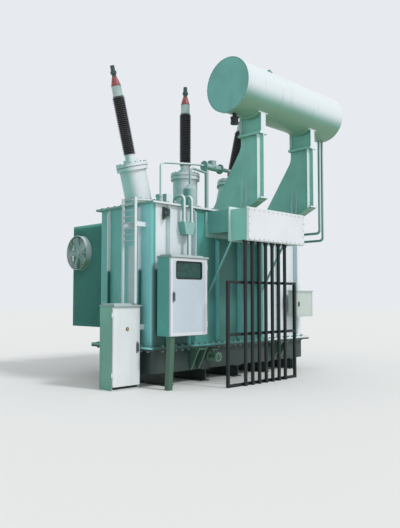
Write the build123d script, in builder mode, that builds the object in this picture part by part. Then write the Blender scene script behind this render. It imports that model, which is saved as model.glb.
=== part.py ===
import os
from math import cos, radians, sin

from build123d import *

os.makedirs("parts", exist_ok=True)

# Tank
tank_length = 3960
tank_width = 1400
tank_corner_radius = 80
tank_wall = 12
skid_height = 210
lower_tank_height = 385
bell_height = 2265
joint_flange_thickness = 30
joint_flange_overhang = 100
cover_thickness = 30
cover_overhang = 60
flange_corner_radius = 40

# Skids
skid_count = 5
skid_end_inset = 340
skid_width = 180
skid_web = 16
skid_flange = 18

# Wall ribs
front_rib_count = 7
front_rib_inset = 280
end_rib_inset = 300
rib_depth = 90
end_rib_depth = 60
rib_thickness = 16
rib_end_slope = 70

# Lifting lugs
lug_inset = 200
lug_reach = 130
lug_height = 210
lug_thickness = 40
lug_hole = 60
lug_top_gap = 40
lug_nose_share = 0.25

# Jacking pads under the joint flange
jack_inset = 885
jack_width = 190
jack_reach = 205
jack_height = 345
jack_nose_share = 0.12
jack_plate = 20

# Drain valve
drain_inset = 1250
drain_drop = 195
drain_pipe = 80
drain_flange = 170
drain_flange_thickness = 22
drain_reach = 190
drain_stem = 40
drain_stem_height = 130

# Thermometer pocket on the cover
thermometer_place = 335
thermometer_length = 130
thermometer_width = 90
thermometer_height = 150

# High voltage bushings
bushing_first_inset = 121
bushing_last_inset = 1353
bushing_row = 705
bushing_lean = 15
bushing_count = 3
turret_height = 717
turret_diameter = 440
turret_flange = 520
turret_flange_thickness = 60
turret_pedestal = 520
turret_pedestal_height = 80
turret_foot = 600
turret_foot_thickness = 30
bushing_neck = 250
bushing_neck_height = 60
bushing_collar = 170
bushing_collar_height = 90
insulator_height = 945
insulator_core = 150
shed_diameter = 208
shed_count = 20
shed_lip_share = 0.18
shed_rise_share = 0.7
head_diameter = 160
head_height = 190
head_rim = 180
head_rim_height = 24
terminal_foot = 150
terminal_top = 84
terminal_height = 105
stud_diameter = 72
stud_height = 210

# Conservator
conservator_overhang = 410
conservator_barrel_length = 2926
conservator_row = 270
conservator_rise = 2140
conservator_diameter = 915
conservator_wall = 8
conservator_rim = 956
conservator_rim_thickness = 30
conservator_cap_thickness = 24
conservator_dish = 90
sump_inset = 162
sump_pipe = 60
sump_length = 70
sump_valve = 130
sump_valve_height = 120
vent_inset = 1166
vent_pipe = 50
vent_height = 80
vent_cap = 100
vent_cap_height = 34

# Conservator supports
support_far_inset = 350
support_spacing = 1520
bracket_height = 1390
bracket_width = 520
bracket_plate = 24
bracket_seat_length = 200
bracket_seat_thickness = 22
bracket_foot_rise = 230
bracket_foot_flange = 200
bracket_back_reach = 800
bracket_flare_drop = 200
bracket_flare_bend = 300
bracket_rib_plate = 14
front_rib_setback = 80
front_rib_reach = 100
gusset_setbacks = (390, 500)
gusset_reach = 62
gusset_foot = 12
gusset_heights = (880, 1170)
saddle_width = 500
saddle_length = 130
saddle_plate = 16
wear_plate_length = 250
wear_plate_thickness = 16

# Cover pipework
gas_pipe_row = 320
gas_pipe_diameter = 38
gas_pipe_start = 430
gas_pipe_rise = 730
gas_pipe_bend = 90
gas_pipe_lead = 120
main_pipe_diameter = 70
main_pipe_inset = 70
relay_support_gap = 210
relay_length = 430
relay_diameter = 120
relay_flange = 180
relay_flange_thickness = 20
relay_dome = 150
relay_dome_height = 115
relay_rise = 830
oil_pipe_bend = 130
oil_pipe_run = 510
oil_pipe_stub = 242
dome_place = 990
dome_row = 200
dome_diameter = 240
dome_height = 420
dome_crown = 90
dome_flange = 300
dome_flange_thickness = 24
branch_pipe = 44
branch_drop = 120
branch_bend = 110
riser_valve_diameter = 150
riser_valve_height = 150
riser_valve_cap = 170
riser_valve_cap_height = 36
drop_pipe_count = 2
drop_pipe_outset = 240
drop_pipe_pitch = 110
drop_pipe_diameter = 50
drop_pipe_drop = 180
drop_pipe_step = 140
drop_pipe_row = 420
drop_pipe_bend = 70

# Tap changer head
tap_head_inset = 750
tap_head_row = 720
tap_head_flange = 720
tap_head_flange_thickness = 40
tap_head_body = 600
tap_head_body_height = 110
tap_head_dome_height = 90

# Control conduits over the cover edge
pocket_place_share = 0.644
pocket_width = 260
pocket_drop = 260
pocket_height = 200
pocket_depth = 150
pocket_lower_share = 0.6
conduit_pitch = 170
conduit_diameter = 56
conduit_rise = 140
conduit_reach = 125
conduit_bend = 70

# Cabinets
cabinet_wall = 12
door_gap = 6
door_thickness = 26
door_corner = 12
hinge_offset = 14
hinge_radius = 9
hinge_pin = 6
hinge_running_clearance = 0.1
hinge_height = 60
hinge_gap = 5
hinge_arm_height = 20
hinge_anchor_gap = 14
hinge_anchor = 60
hinge_inset = 150
handle_height = 130
handle_width = 26
handle_depth = 34
handle_inset = 55
roof_front_overhang = 30
roof_side_overhang = 12
roof_thickness = 24
roof_ridge_inset = 30
roof_rise = 24
roof_taper = 35

drive_left = 3
drive_length = 787
drive_front = 391
drive_bottom = 800
drive_top = 2000
drive_leg_side = 85
drive_leg_foot = 26
drive_leg_lean = 50
drive_leg_row = 320
window_width = 566
window_height = 280
window_glass = 10
window_top_gap = 46
window_corner = 40

marshal_left = 623
marshal_length = 510
marshal_row = 180
marshal_depth = 340
marshal_top = 1250
marshal_plinth = 55
marshal_stay_level = 930
marshal_stay_height = 80
marshal_stay_inset = 14

# Cable tray on the end wall
tray_gap = 190
tray_row = 170
tray_width = 330
tray_depth = 45
tray_rail = 22
tray_rung = 20
tray_rung_pitch = 95
tray_top_rise = 60
trunk_width = 150
trunk_drop = 760
tray_arm_drop = 415
tray_arm_height = 75

# Low voltage cable box
lv_left = 1153
lv_length = 1511
lv_front = 957
lv_depth = 401
lv_height = 512
lv_top_drop = 44
lv_cover_thickness = 24
lv_flange_lip = 15
neck_inset = 45
neck_height = 375
neck_top_drop = 20
neck_flange_lip = 60
neck_flange_thickness = 24
brace_width = 48
brace_thickness = 36
brace_drop = 904

# Cable rack and cables
rack_left = 830
rack_right = 2570
rack_row = 800
rack_bar = 44
rack_height = 1650
rack_middle = 788
cable_count = 7
cable_diameter = 58
cable_inset = 37
cable_pitch = 173

# Radiators
radiator_count = 5
radiator_inset = 280
radiator_width = 520
radiator_bottom_rise = 235
radiator_top_drop = 140
radiator_start = 330
radiator_reach = 1215
radiator_panel_count = 19
radiator_panel = 12
radiator_header = 90
radiator_header_inset = 80
radiator_flange = 170
radiator_flange_thickness = 24

# Fan
fan_inset = 269
fan_drop = 512
fan_outer = 640
fan_wall = 16
fan_depth = 120
fan_tip_gap = 12
fan_hub = 150
fan_blade_count = 5
blade_root_share = 0.25
fan_blade_chord = 120
fan_blade_thickness = 6
fan_root_pitch = 21
fan_tip_pitch = 14
fan_motor = 140
fan_motor_depth = 30
fan_shaft = 24
fan_shaft_clearance = 0.05
fan_strut = 24
fan_strut_count = 4
fan_gap = 6
fan_front_gap = 18
guard_ring_count = 5
guard_bar = 8

# Small cabinet at the far end of the front wall
far_cabinet_inset = 75
far_cabinet_length = 525
far_cabinet_front = 300
far_cabinet_rise = 395
far_cabinet_height = 480
far_cabinet_lip = 20
far_cabinet_edge = 14

# Walls and levels
left_end = -tank_length / 2
right_end = tank_length / 2
front_wall = -tank_width / 2
back_wall = tank_width / 2
tray_top = skid_height + lower_tank_height
bell_bottom = tray_top + joint_flange_thickness
cover_underside = tray_top + bell_height
cover_top = cover_underside + cover_thickness


def along(place):
    """Row frame X of a place measured from the left end wall."""
    return left_end + place


def inward(place):
    """Row frame Y of a place measured inward from the front wall."""
    return front_wall + place


# Base of the tank
skid_pitch = (tank_length - 2 * skid_end_inset) / (skid_count - 1)

with BuildPart() as skid_beams:
    with BuildSketch(Plane.XZ.offset(-back_wall)):
        with Locations((0, skid_height / 2)):
            with GridLocations(skid_pitch, 0, skid_count, 1):
                Rectangle(skid_web, skid_height)
            with GridLocations(skid_pitch, skid_height - skid_flange, skid_count, 2):
                Rectangle(skid_width, skid_flange)
    extrude(amount=tank_width)

with BuildPart() as lower_tank:
    with BuildSketch(Plane.XY.offset(skid_height)):
        RectangleRounded(tank_length, tank_width, tank_corner_radius)
    extrude(amount=lower_tank_height)
    with BuildSketch(Plane.XY.offset(tray_top - joint_flange_thickness)):
        RectangleRounded(
            tank_length + 2 * joint_flange_overhang,
            tank_width + 2 * joint_flange_overhang,
            flange_corner_radius,
        )
    extrude(amount=joint_flange_thickness)
    with BuildSketch(Plane.XY.offset(skid_height + tank_wall)):
        RectangleRounded(
            tank_length - 2 * tank_wall,
            tank_width - 2 * tank_wall,
            tank_corner_radius - tank_wall,
        )
    extrude(amount=lower_tank_height, mode=Mode.SUBTRACT)

with BuildPart() as bell_tank:
    with BuildSketch(Plane.XY.offset(tray_top)):
        RectangleRounded(
            tank_length + 2 * joint_flange_overhang,
            tank_width + 2 * joint_flange_overhang,
            flange_corner_radius,
        )
    extrude(amount=joint_flange_thickness)
    with BuildSketch(Plane.XY.offset(tray_top)):
        RectangleRounded(tank_length, tank_width, tank_corner_radius)
    extrude(amount=bell_height)
    with BuildSketch(Plane.XY.offset(tray_top)):
        RectangleRounded(
            tank_length - 2 * tank_wall,
            tank_width - 2 * tank_wall,
            tank_corner_radius - tank_wall,
        )
    extrude(amount=bell_height, mode=Mode.SUBTRACT)

with BuildPart() as tank_cover:
    with BuildSketch(Plane.XY.offset(cover_underside)):
        RectangleRounded(
            tank_length + 2 * cover_overhang,
            tank_width + 2 * cover_overhang,
            flange_corner_radius,
        )
    extrude(amount=cover_thickness)
    with BuildSketch(Plane.XY.offset(cover_top)):
        with Locations((along(thermometer_place), front_wall)):
            Rectangle(thermometer_length, thermometer_width, align=(Align.CENTER, Align.MIN))
    extrude(amount=thermometer_height)

# Stiffening ribs, cut short under the flange of the low voltage neck
front_rib_pitch = (tank_length - 2 * front_rib_inset) / (front_rib_count - 1)
neck_left = lv_left + neck_inset
neck_length = lv_length - 2 * neck_inset
neck_top = cover_underside - neck_top_drop
neck_bottom = neck_top - neck_height
neck_flange_left = neck_left - neck_flange_lip
neck_flange_length = neck_length + 2 * neck_flange_lip


def rib(x, y, facing, depth, top):
    """One flat rib on a wall, its free edge sloping back to the wall at both ends."""
    facing = Vector(*facing)
    plane = Plane(origin=(x, y, 0), x_dir=facing, z_dir=facing.cross(Vector(0, 0, 1)))
    with BuildPart() as body:
        with BuildSketch(plane):
            Polygon(
                (0, bell_bottom),
                (depth, bell_bottom + rib_end_slope),
                (depth, top - rib_end_slope),
                (0, top),
                align=None,
            )
        extrude(amount=rib_thickness / 2, both=True)
    return body.part


with BuildPart() as wall_ribs:
    for number in range(front_rib_count):
        place = front_rib_inset + number * front_rib_pitch
        under_neck = neck_flange_left < place < neck_flange_left + neck_flange_length
        rib_top = neck_bottom - neck_flange_lip if under_neck else cover_underside
        add(rib(along(place), front_wall, (0, -1, 0), rib_depth, rib_top))
    for end, facing in ((left_end, -1), (right_end, 1)):
        for row in (end_rib_inset, tank_width - end_rib_inset):
            add(rib(end, inward(row), (facing, 0, 0), end_rib_depth, cover_underside))

with BuildPart() as lifting_lugs:
    for side, facing in ((front_wall, -1), (back_wall, 1)):
        for place in (lug_inset, tank_length - lug_inset):
            lug_plane = Plane(
                origin=(along(place), side, cover_underside - lug_top_gap),
                x_dir=(0, facing, 0),
                z_dir=(facing, 0, 0),
            )
            with BuildSketch(lug_plane):
                Polygon(
                    (0, 0),
                    (lug_reach, -lug_height * lug_nose_share),
                    (lug_reach, -lug_height * (1 - lug_nose_share)),
                    (0, -lug_height),
                    align=None,
                )
                with Locations((lug_reach / 2, -lug_height / 2)):
                    Circle(lug_hole / 2, mode=Mode.SUBTRACT)
            extrude(amount=lug_thickness / 2, both=True)

# Jacking pads: a plate under the joint flange on two cheeks that run back to the wall
with BuildPart() as jacking_pads:
    for side, facing in ((front_wall, -1), (back_wall, 1)):
        for place in (jack_inset, tank_length - jack_inset):
            jack_plane = Plane(
                origin=(along(place), side, tray_top - joint_flange_thickness),
                x_dir=(0, facing, 0),
                z_dir=(facing, 0, 0),
            )
            with BuildSketch(jack_plane):
                Rectangle(jack_reach, jack_plate, align=(Align.MIN, Align.MAX))
            extrude(amount=jack_width / 2, both=True)
            for edge in (-1, 1):
                cheek = jack_plane.offset(edge * (jack_width - jack_plate) / 2)
                with BuildSketch(cheek):
                    Polygon(
                        (0, -jack_plate),
                        (0, -jack_height),
                        (jack_reach * jack_nose_share, -jack_height),
                        (jack_reach, -jack_plate),
                        align=None,
                    )
                extrude(amount=jack_plate / 2, both=True)

drain_level = tray_top - drain_drop

with BuildPart() as drain_valve:
    with BuildSketch(Plane.XY.offset(drain_level)):
        with BuildLine():
            Polyline(
                (0, front_wall),
                (drain_flange / 2, front_wall),
                (drain_flange / 2, front_wall - drain_flange_thickness),
                (drain_pipe / 2, front_wall - drain_flange_thickness),
                (drain_pipe / 2, front_wall - drain_reach),
                (drain_flange / 2, front_wall - drain_reach),
                (drain_flange / 2, front_wall - drain_reach - drain_flange_thickness),
                (0, front_wall - drain_reach - drain_flange_thickness),
                close=True,
            )
        make_face()
    revolve(axis=Axis((0, 0, drain_level), (0, 1, 0)))
    with BuildSketch(Plane.XY.offset(drain_level)):
        with Locations((0, front_wall - drain_reach / 2)):
            Circle(drain_stem / 2)
    extrude(amount=drain_stem_height)
drain_valve.part = drain_valve.part.moved(Location((along(drain_inset), 0, 0)))

# High voltage bushings, the outer two leaning outwards
turret_top = cover_top + turret_height
bushing_pitch = (tank_length - bushing_first_inset - bushing_last_inset) / (bushing_count - 1)
bushing_places = [bushing_first_inset + number * bushing_pitch for number in range(bushing_count)]
bushing_leans = [bushing_lean * (2 * number / (bushing_count - 1) - 1) for number in range(bushing_count)]
bushing_frames = [
    Location((along(place), inward(bushing_row), turret_top), (0, lean, 0))
    for place, lean in zip(bushing_places, bushing_leans)
]
turret_reach = turret_height / cos(radians(bushing_lean))
insulator_base = bushing_neck_height + bushing_collar_height
insulator_end = insulator_base + insulator_height
standing = (Align.CENTER, Align.CENTER, Align.MIN)
hanging = (Align.CENTER, Align.CENTER, Align.MAX)

with BuildPart() as turrets:
    for place, lean, frame in zip(bushing_places, bushing_leans, bushing_frames):
        with Locations(frame):
            Cylinder(turret_diameter / 2, turret_reach + turret_diameter, align=hanging)
            Cylinder(turret_flange / 2, 2 * turret_flange_thickness, align=hanging)
            Cylinder(bushing_neck / 2, bushing_neck_height, align=standing)
        with Locations(frame * Location((0, 0, bushing_neck_height))):
            Cylinder(bushing_collar / 2, bushing_collar_height, align=standing)
        foot_x = along(place) - turret_reach * sin(radians(lean))
        with Locations((foot_x, inward(bushing_row), cover_top)):
            Cylinder(turret_pedestal / 2, turret_pedestal_height, align=standing)
        with Locations((foot_x, inward(bushing_row), cover_top + turret_pedestal_height)):
            Cylinder(turret_foot / 2, turret_foot_thickness, align=standing)
    split(bisect_by=Plane.XY.offset(cover_top), keep=Keep.TOP)

shed_pitch = insulator_height / shed_count

with BuildPart() as insulator:
    with BuildSketch(Plane.XZ):
        with BuildLine():
            outline = [(0, insulator_base)]
            for number in range(shed_count):
                foot = insulator_base + number * shed_pitch
                outline += [
                    (insulator_core / 2, foot),
                    (shed_diameter / 2, foot + shed_lip_share * shed_pitch),
                    (insulator_core / 2, foot + shed_rise_share * shed_pitch),
                ]
            outline += [(insulator_core / 2, insulator_end), (0, insulator_end)]
            Polyline(*outline, close=True)
        make_face()
    revolve(axis=Axis.Z)

with BuildPart() as insulators:
    for frame in bushing_frames:
        add(insulator.part.moved(frame))

head_end = insulator_end + head_height
terminal_end = head_end + terminal_height

with BuildPart() as bushing_head:
    with BuildSketch(Plane.XZ):
        with BuildLine():
            Polyline(
                (0, insulator_end),
                (head_rim / 2, insulator_end),
                (head_rim / 2, insulator_end + head_rim_height),
                (head_diameter / 2, insulator_end + head_rim_height),
                (head_diameter / 2, head_end),
                (terminal_foot / 2, head_end),
                (terminal_top / 2, terminal_end),
                (stud_diameter / 2, terminal_end),
                (stud_diameter / 2, terminal_end + stud_height),
                (0, terminal_end + stud_height),
                close=True,
            )
        make_face()
    revolve(axis=Axis.Z)

with BuildPart() as bushing_heads:
    for frame in bushing_frames:
        add(bushing_head.part.moved(frame))

# Conservator: a bolted flat cover at the near end, a dished end at the far one
conservator_y = inward(-conservator_row)
conservator_level = cover_top + conservator_rise
conservator_far = right_end + conservator_overhang
conservator_near = conservator_far - conservator_barrel_length
conservator_radius = conservator_diameter / 2
conservator_underside = conservator_level - conservator_radius
barrel_near = Plane(origin=(conservator_near, conservator_y, conservator_level), z_dir=(1, 0, 0))
barrel_far = barrel_near.offset(conservator_barrel_length)
fitting_root = conservator_radius - conservator_wall / 2
sump_x = conservator_near + sump_inset
vent_x = conservator_near + vent_inset

with BuildPart() as conservator_barrel:
    with BuildSketch(barrel_near):
        Circle(conservator_radius)
    extrude(amount=conservator_barrel_length)
    with BuildSketch(barrel_near):
        Circle(conservator_rim / 2)
    extrude(amount=conservator_rim_thickness)
    with BuildSketch(barrel_near):
        Circle(conservator_radius - conservator_wall)
    extrude(amount=conservator_barrel_length, mode=Mode.SUBTRACT)
    with Locations((sump_x, conservator_y, conservator_level - fitting_root)):
        Cylinder(sump_pipe / 2, sump_length + sump_valve_height, align=hanging)
    with Locations((sump_x, conservator_y, conservator_underside - sump_length)):
        Cylinder(sump_valve / 2, sump_valve_height, align=hanging)
    with Locations((vent_x, conservator_y, conservator_level + fitting_root)):
        Cylinder(vent_pipe / 2, vent_height, align=standing)
    with Locations((vent_x, conservator_y, conservator_level + fitting_root + vent_height)):
        Cylinder(vent_cap / 2, vent_cap_height, align=standing)

with BuildPart() as conservator_near_cap:
    with BuildSketch(barrel_near):
        Circle(conservator_rim / 2)
    extrude(amount=-conservator_cap_thickness)

with BuildPart() as conservator_far_cap:
    with BuildSketch(Plane.XZ):
        with BuildLine():
            outer_dish = TangentArc((0, conservator_dish), (conservator_radius, 0), tangent=(1, 0))
            inner_dish = TangentArc(
                (0, conservator_dish - conservator_wall),
                (conservator_radius - conservator_wall, 0),
                tangent=(1, 0),
            )
            Line(outer_dish @ 0, inner_dish @ 0)
            Line(outer_dish @ 1, inner_dish @ 1)
        make_face()
    revolve(axis=Axis.Z)
conservator_far_cap.part = conservator_far_cap.part.moved(barrel_far.location)

# Conservator supports: a web that flares back over the cover, with ribs, a foot plate and a seat
support_x = right_end - support_far_inset
support_stations = (support_x - support_spacing, support_x)
bracket_joint = cover_top + bracket_height
bracket_foot = cover_top + bracket_foot_rise
bracket_front = conservator_y - bracket_width / 2
bracket_back = conservator_y + bracket_width / 2
cover_front = front_wall - cover_overhang
front_rib_y = bracket_front + front_rib_setback
front_rib_drop = bracket_foot_rise * front_rib_setback / (cover_front - bracket_front)


def support_bracket(x):
    """One support from the cover edge up to the seat under the barrel's saddle."""
    web_plane = Plane(origin=(x, 0, 0), x_dir=(0, 1, 0), z_dir=(1, 0, 0))
    with BuildPart() as body:
        with BuildSketch(web_plane):
            with BuildLine():
                flare = FilletPolyline(
                    (bracket_back, bracket_joint),
                    (bracket_back, bracket_joint - bracket_flare_drop),
                    (inward(bracket_back_reach), cover_top),
                    radius=bracket_flare_bend,
                )
                Polyline(
                    flare @ 1,
                    (cover_front, cover_top),
                    (bracket_front, bracket_foot),
                    (bracket_front, bracket_joint),
                    flare @ 0,
                )
            make_face()
        extrude(amount=bracket_plate / 2, both=True)
        with BuildSketch(web_plane):
            Polygon(
                (cover_front, cover_top),
                (bracket_front, bracket_foot),
                (bracket_front, bracket_foot + bracket_plate),
                (cover_front, cover_top + bracket_plate),
                align=None,
            )
        extrude(amount=bracket_foot_flange / 2, both=True)
        with BuildSketch(Plane.XY.offset(bracket_joint)):
            with Locations((x, conservator_y)):
                Rectangle(bracket_seat_length, bracket_width)
        extrude(amount=-bracket_seat_thickness)
        with BuildSketch(Plane.XY.offset(bracket_joint)):
            with Locations((x, front_rib_y)):
                Rectangle(2 * front_rib_reach, bracket_rib_plate)
        extrude(amount=bracket_foot - front_rib_drop - bracket_joint)
        for setback, height in zip(gusset_setbacks, gusset_heights):
            with BuildSketch(Plane.XZ.offset(-bracket_front - setback)):
                with Locations((x, cover_top)):
                    Polygon(
                        (-gusset_reach, gusset_foot),
                        (gusset_reach, gusset_foot),
                        (0, height),
                        align=None,
                    )
            extrude(amount=bracket_rib_plate / 2, both=True)
    return body.part


def barrel_saddle(x):
    """One saddle: seat, web, two end plates and a curved wear plate round the barrel."""
    with BuildPart() as body:
        with Locations((x, conservator_y, conservator_level)):
            Box(wear_plate_length, saddle_width, conservator_diameter, align=hanging)
        with Locations(barrel_near):
            Cylinder(
                conservator_radius + wear_plate_thickness,
                conservator_barrel_length,
                align=standing,
                mode=Mode.INTERSECT,
            )
        with BuildSketch(Plane.XY.offset(bracket_joint)):
            with Locations((x, conservator_y)):
                Rectangle(saddle_plate, saddle_width)
                with GridLocations(0, saddle_width - saddle_plate, 1, 2):
                    Rectangle(saddle_length, saddle_plate)
        extrude(amount=conservator_level - bracket_joint)
        with BuildSketch(Plane.XY.offset(bracket_joint)):
            with Locations((x, conservator_y)):
                Rectangle(bracket_seat_length, bracket_width)
        extrude(amount=bracket_seat_thickness)
        with Locations(barrel_near):
            Cylinder(
                conservator_radius,
                conservator_barrel_length,
                align=standing,
                mode=Mode.SUBTRACT,
            )
    return body.part


with BuildPart() as conservator_brackets:
    for station in support_stations:
        add(support_bracket(station))

with BuildPart() as conservator_saddles:
    for station in support_stations:
        add(barrel_saddle(station))

# Cover pipework from the gas riser through the relay to the conservator
gas_y = inward(gas_pipe_row)
gas_x = along(gas_pipe_start)
riser_valve_top = cover_top + riser_valve_height + riser_valve_cap_height
relay_level = cover_top + relay_rise
relay_end = support_stations[0] - relay_support_gap
relay_start = relay_end - relay_length
relay_plane = Plane(origin=(relay_start, gas_y, relay_level), z_dir=(1, 0, 0))

with BuildPart() as gas_pipe:
    with BuildLine() as gas_route:
        FilletPolyline(
            (gas_x, gas_y, riser_valve_top),
            (gas_x, gas_y, cover_top + gas_pipe_rise),
            (relay_start - gas_pipe_lead, gas_y, relay_level),
            (relay_start, gas_y, relay_level),
            radius=gas_pipe_bend,
        )
    with BuildSketch(Plane.XY.offset(riser_valve_top)):
        with Locations((gas_x, gas_y)):
            Circle(gas_pipe_diameter / 2)
    sweep(path=gas_route.line)
    with Locations((gas_x, gas_y, cover_top)):
        Cylinder(riser_valve_diameter / 2, riser_valve_height, align=standing)
    with Locations((gas_x, gas_y, riser_valve_top)):
        Cylinder(riser_valve_cap / 2, riser_valve_cap_height, align=hanging)

with BuildPart() as gas_relay:
    with BuildSketch(relay_plane):
        Circle(relay_diameter / 2)
    extrude(amount=relay_length)
    with BuildSketch(relay_plane, relay_plane.offset(relay_length - relay_flange_thickness)):
        Circle(relay_flange / 2)
    extrude(amount=relay_flange_thickness)
    with BuildSketch(Plane.XY.offset(relay_level)):
        with Locations((relay_start + relay_length / 2, gas_y)):
            Circle(relay_dome / 2)
    extrude(amount=relay_dome_height)

oil_riser_x = relay_end + oil_pipe_run
main_pipe_x = relay_start + main_pipe_inset
dome_top = cover_top + dome_height
branch_level = relay_level - branch_drop

with BuildPart() as oil_pipes:
    with BuildLine() as oil_route:
        FilletPolyline(
            (relay_end, gas_y, relay_level),
            (oil_riser_x, gas_y, relay_level),
            (oil_riser_x, conservator_y, conservator_underside - oil_pipe_stub),
            (oil_riser_x, conservator_y, conservator_underside),
            radius=oil_pipe_bend,
        )
    with BuildSketch(relay_plane.offset(relay_length)):
        Circle(main_pipe_diameter / 2)
    sweep(path=oil_route.line)
    with BuildSketch(Plane.XY.offset(cover_top)):
        with Locations((main_pipe_x, gas_y)):
            Circle(main_pipe_diameter / 2)
    extrude(amount=relay_rise - relay_diameter / 2)
    with BuildLine() as branch_route:
        FilletPolyline(
            (along(dome_place), inward(dome_row), dome_top),
            (along(dome_place), inward(dome_row), branch_level),
            (main_pipe_x, gas_y, branch_level),
            radius=branch_bend,
        )
    with BuildSketch(Plane.XY.offset(dome_top)):
        with Locations((along(dome_place), inward(dome_row))):
            Circle(branch_pipe / 2)
    sweep(path=branch_route.line)
    with Locations((along(dome_place), inward(dome_row), cover_top)):
        Cylinder(dome_diameter / 2, dome_height - dome_crown, align=standing)
        Cylinder(dome_flange / 2, dome_flange_thickness, align=standing)
    with Locations((along(dome_place), inward(dome_row), dome_top)):
        Cone(dome_diameter / 2, branch_pipe / 2, dome_crown, align=hanging)

with BuildPart() as drop_pipes:
    for number in range(drop_pipe_count):
        pipe_x = right_end + drop_pipe_outset + number * drop_pipe_pitch
        low = cover_underside - drop_pipe_drop - number * drop_pipe_step
        with BuildLine() as drop_route:
            FilletPolyline(
                (pipe_x, conservator_y, conservator_underside),
                (pipe_x, conservator_y, low),
                (pipe_x, inward(drop_pipe_row), low),
                (right_end, inward(drop_pipe_row), low),
                radius=drop_pipe_bend,
            )
        with BuildSketch(Plane.XY.offset(conservator_underside)):
            with Locations((pipe_x, conservator_y)):
                Circle(drop_pipe_diameter / 2)
        sweep(path=drop_route.line)

with BuildPart() as tap_changer_head:
    with BuildSketch(Plane.XZ):
        with BuildLine():
            tap_shoulder = cover_top + tap_head_flange_thickness + tap_head_body_height
            Polyline(
                (0, tap_shoulder + tap_head_dome_height),
                (0, cover_top),
                (tap_head_flange / 2, cover_top),
                (tap_head_flange / 2, cover_top + tap_head_flange_thickness),
                (tap_head_body / 2, cover_top + tap_head_flange_thickness),
                (tap_head_body / 2, tap_shoulder),
            )
            TangentArc(
                (0, tap_shoulder + tap_head_dome_height),
                (tap_head_body / 2, tap_shoulder),
                tangent=(1, 0),
            )
        make_face()
    revolve(axis=Axis.Z)
tap_head_spot = Location((right_end - tap_head_inset, inward(tap_head_row), 0))
tap_changer_head.part = tap_changer_head.part.moved(tap_head_spot)

# Control conduits over the cover edge, down through a wall pocket to the drive cabinet
drive_roof_top = drive_top + roof_thickness + roof_rise
pocket_x = along(front_rib_inset + pocket_place_share * front_rib_pitch)
pocket_top = cover_underside - pocket_drop
pocket_bottom = pocket_top - pocket_height

with BuildPart() as conduit_pocket:
    with BuildSketch(Plane.XY.offset(pocket_top)):
        with Locations((pocket_x, front_wall)):
            Rectangle(pocket_width, pocket_depth, align=(Align.CENTER, Align.MAX))
    with BuildSketch(Plane.XY.offset(pocket_bottom)):
        with Locations((pocket_x, front_wall)):
            Rectangle(pocket_width * pocket_lower_share, pocket_depth, align=(Align.CENTER, Align.MAX))
    loft()

conduit_y = front_wall - conduit_reach + conduit_diameter / 2
conduit_crest = cover_top + conduit_rise

with BuildPart() as conduits:
    for side in (-1, 1):
        conduit_x = pocket_x + side * conduit_pitch / 2
        with BuildLine() as conduit_route:
            FilletPolyline(
                (conduit_x, conduit_y, pocket_top),
                (conduit_x, conduit_y, conduit_crest),
                (conduit_x, front_wall + conduit_reach, conduit_crest),
                (conduit_x, front_wall + conduit_reach, cover_top),
                radius=conduit_bend,
            )
        with BuildSketch(Plane.XY.offset(pocket_top)):
            with Locations((conduit_x, conduit_y)):
                Circle(conduit_diameter / 2)
        sweep(path=conduit_route.line)
    with BuildSketch(Plane.XY.offset(drive_roof_top)):
        with Locations((pocket_x, front_wall - pocket_depth + conduit_diameter / 2)):
            Circle(conduit_diameter / 2)
    extrude(amount=pocket_bottom - drive_roof_top)


# Cabinets: hollow bodies open to the front, hinges outside the side wall, a door in front
def cabinet_body(left, length, front, depth, bottom, top):
    """Five-sided sheet cabinet, open towards the front."""
    with BuildPart() as body:
        with BuildSketch(Plane.XY.offset(bottom)):
            with Locations((left + length / 2, front)):
                Rectangle(length, depth, align=(Align.CENTER, Align.MIN))
        extrude(amount=top - bottom)
        with BuildSketch(Plane.XY.offset(bottom + cabinet_wall)):
            with Locations((left + length / 2, front)):
                Rectangle(
                    length - 2 * cabinet_wall,
                    depth - cabinet_wall,
                    align=(Align.CENTER, Align.MIN),
                )
        extrude(amount=top - bottom - 2 * cabinet_wall, mode=Mode.SUBTRACT)
    return body.part


def cabinet_roof(left, length, front, depth, top):
    """Rain roof that falls towards the front and sides."""
    front_reach = door_gap + door_thickness + roof_front_overhang
    with BuildPart() as body:
        with BuildSketch(Plane.XY.offset(top)):
            with Locations((left + length / 2, front - front_reach)):
                Rectangle(
                    length + 2 * roof_side_overhang,
                    depth + front_reach,
                    align=(Align.CENTER, Align.MIN),
                )
        extrude(amount=roof_thickness)
        with BuildSketch(Plane.XY.offset(top + roof_thickness)):
            with Locations((left + length / 2, front + depth)):
                Rectangle(length - 2 * roof_ridge_inset, depth, align=(Align.CENTER, Align.MAX))
        extrude(amount=roof_rise, taper=roof_taper)
    return body.part


def hinge_arms(axis_x, side, front, levels):
    """Arms on the cabinet side, each with an upright pin for a door barrel."""
    axis_y = front - door_gap - door_thickness / 2
    with BuildPart() as body:
        for level in levels:
            arm_bottom = level - hinge_gap - hinge_arm_height
            with BuildSketch(Plane.XY.offset(arm_bottom)):
                with Locations((axis_x, axis_y)):
                    Circle(hinge_radius)
                    Rectangle(
                        2 * hinge_radius,
                        front + hinge_anchor - axis_y,
                        align=(Align.CENTER, Align.MIN),
                    )
                with Locations((axis_x, front + hinge_anchor_gap)):
                    Rectangle(
                        hinge_offset,
                        hinge_anchor - hinge_anchor_gap,
                        align=(Align.MIN if side < 0 else Align.MAX, Align.MIN),
                    )
            extrude(amount=hinge_arm_height)
            with BuildSketch(Plane.XY.offset(level - hinge_gap)):
                with Locations((axis_x, axis_y)):
                    Circle(hinge_pin)
            extrude(amount=hinge_height + hinge_gap)
    return body.part


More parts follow.
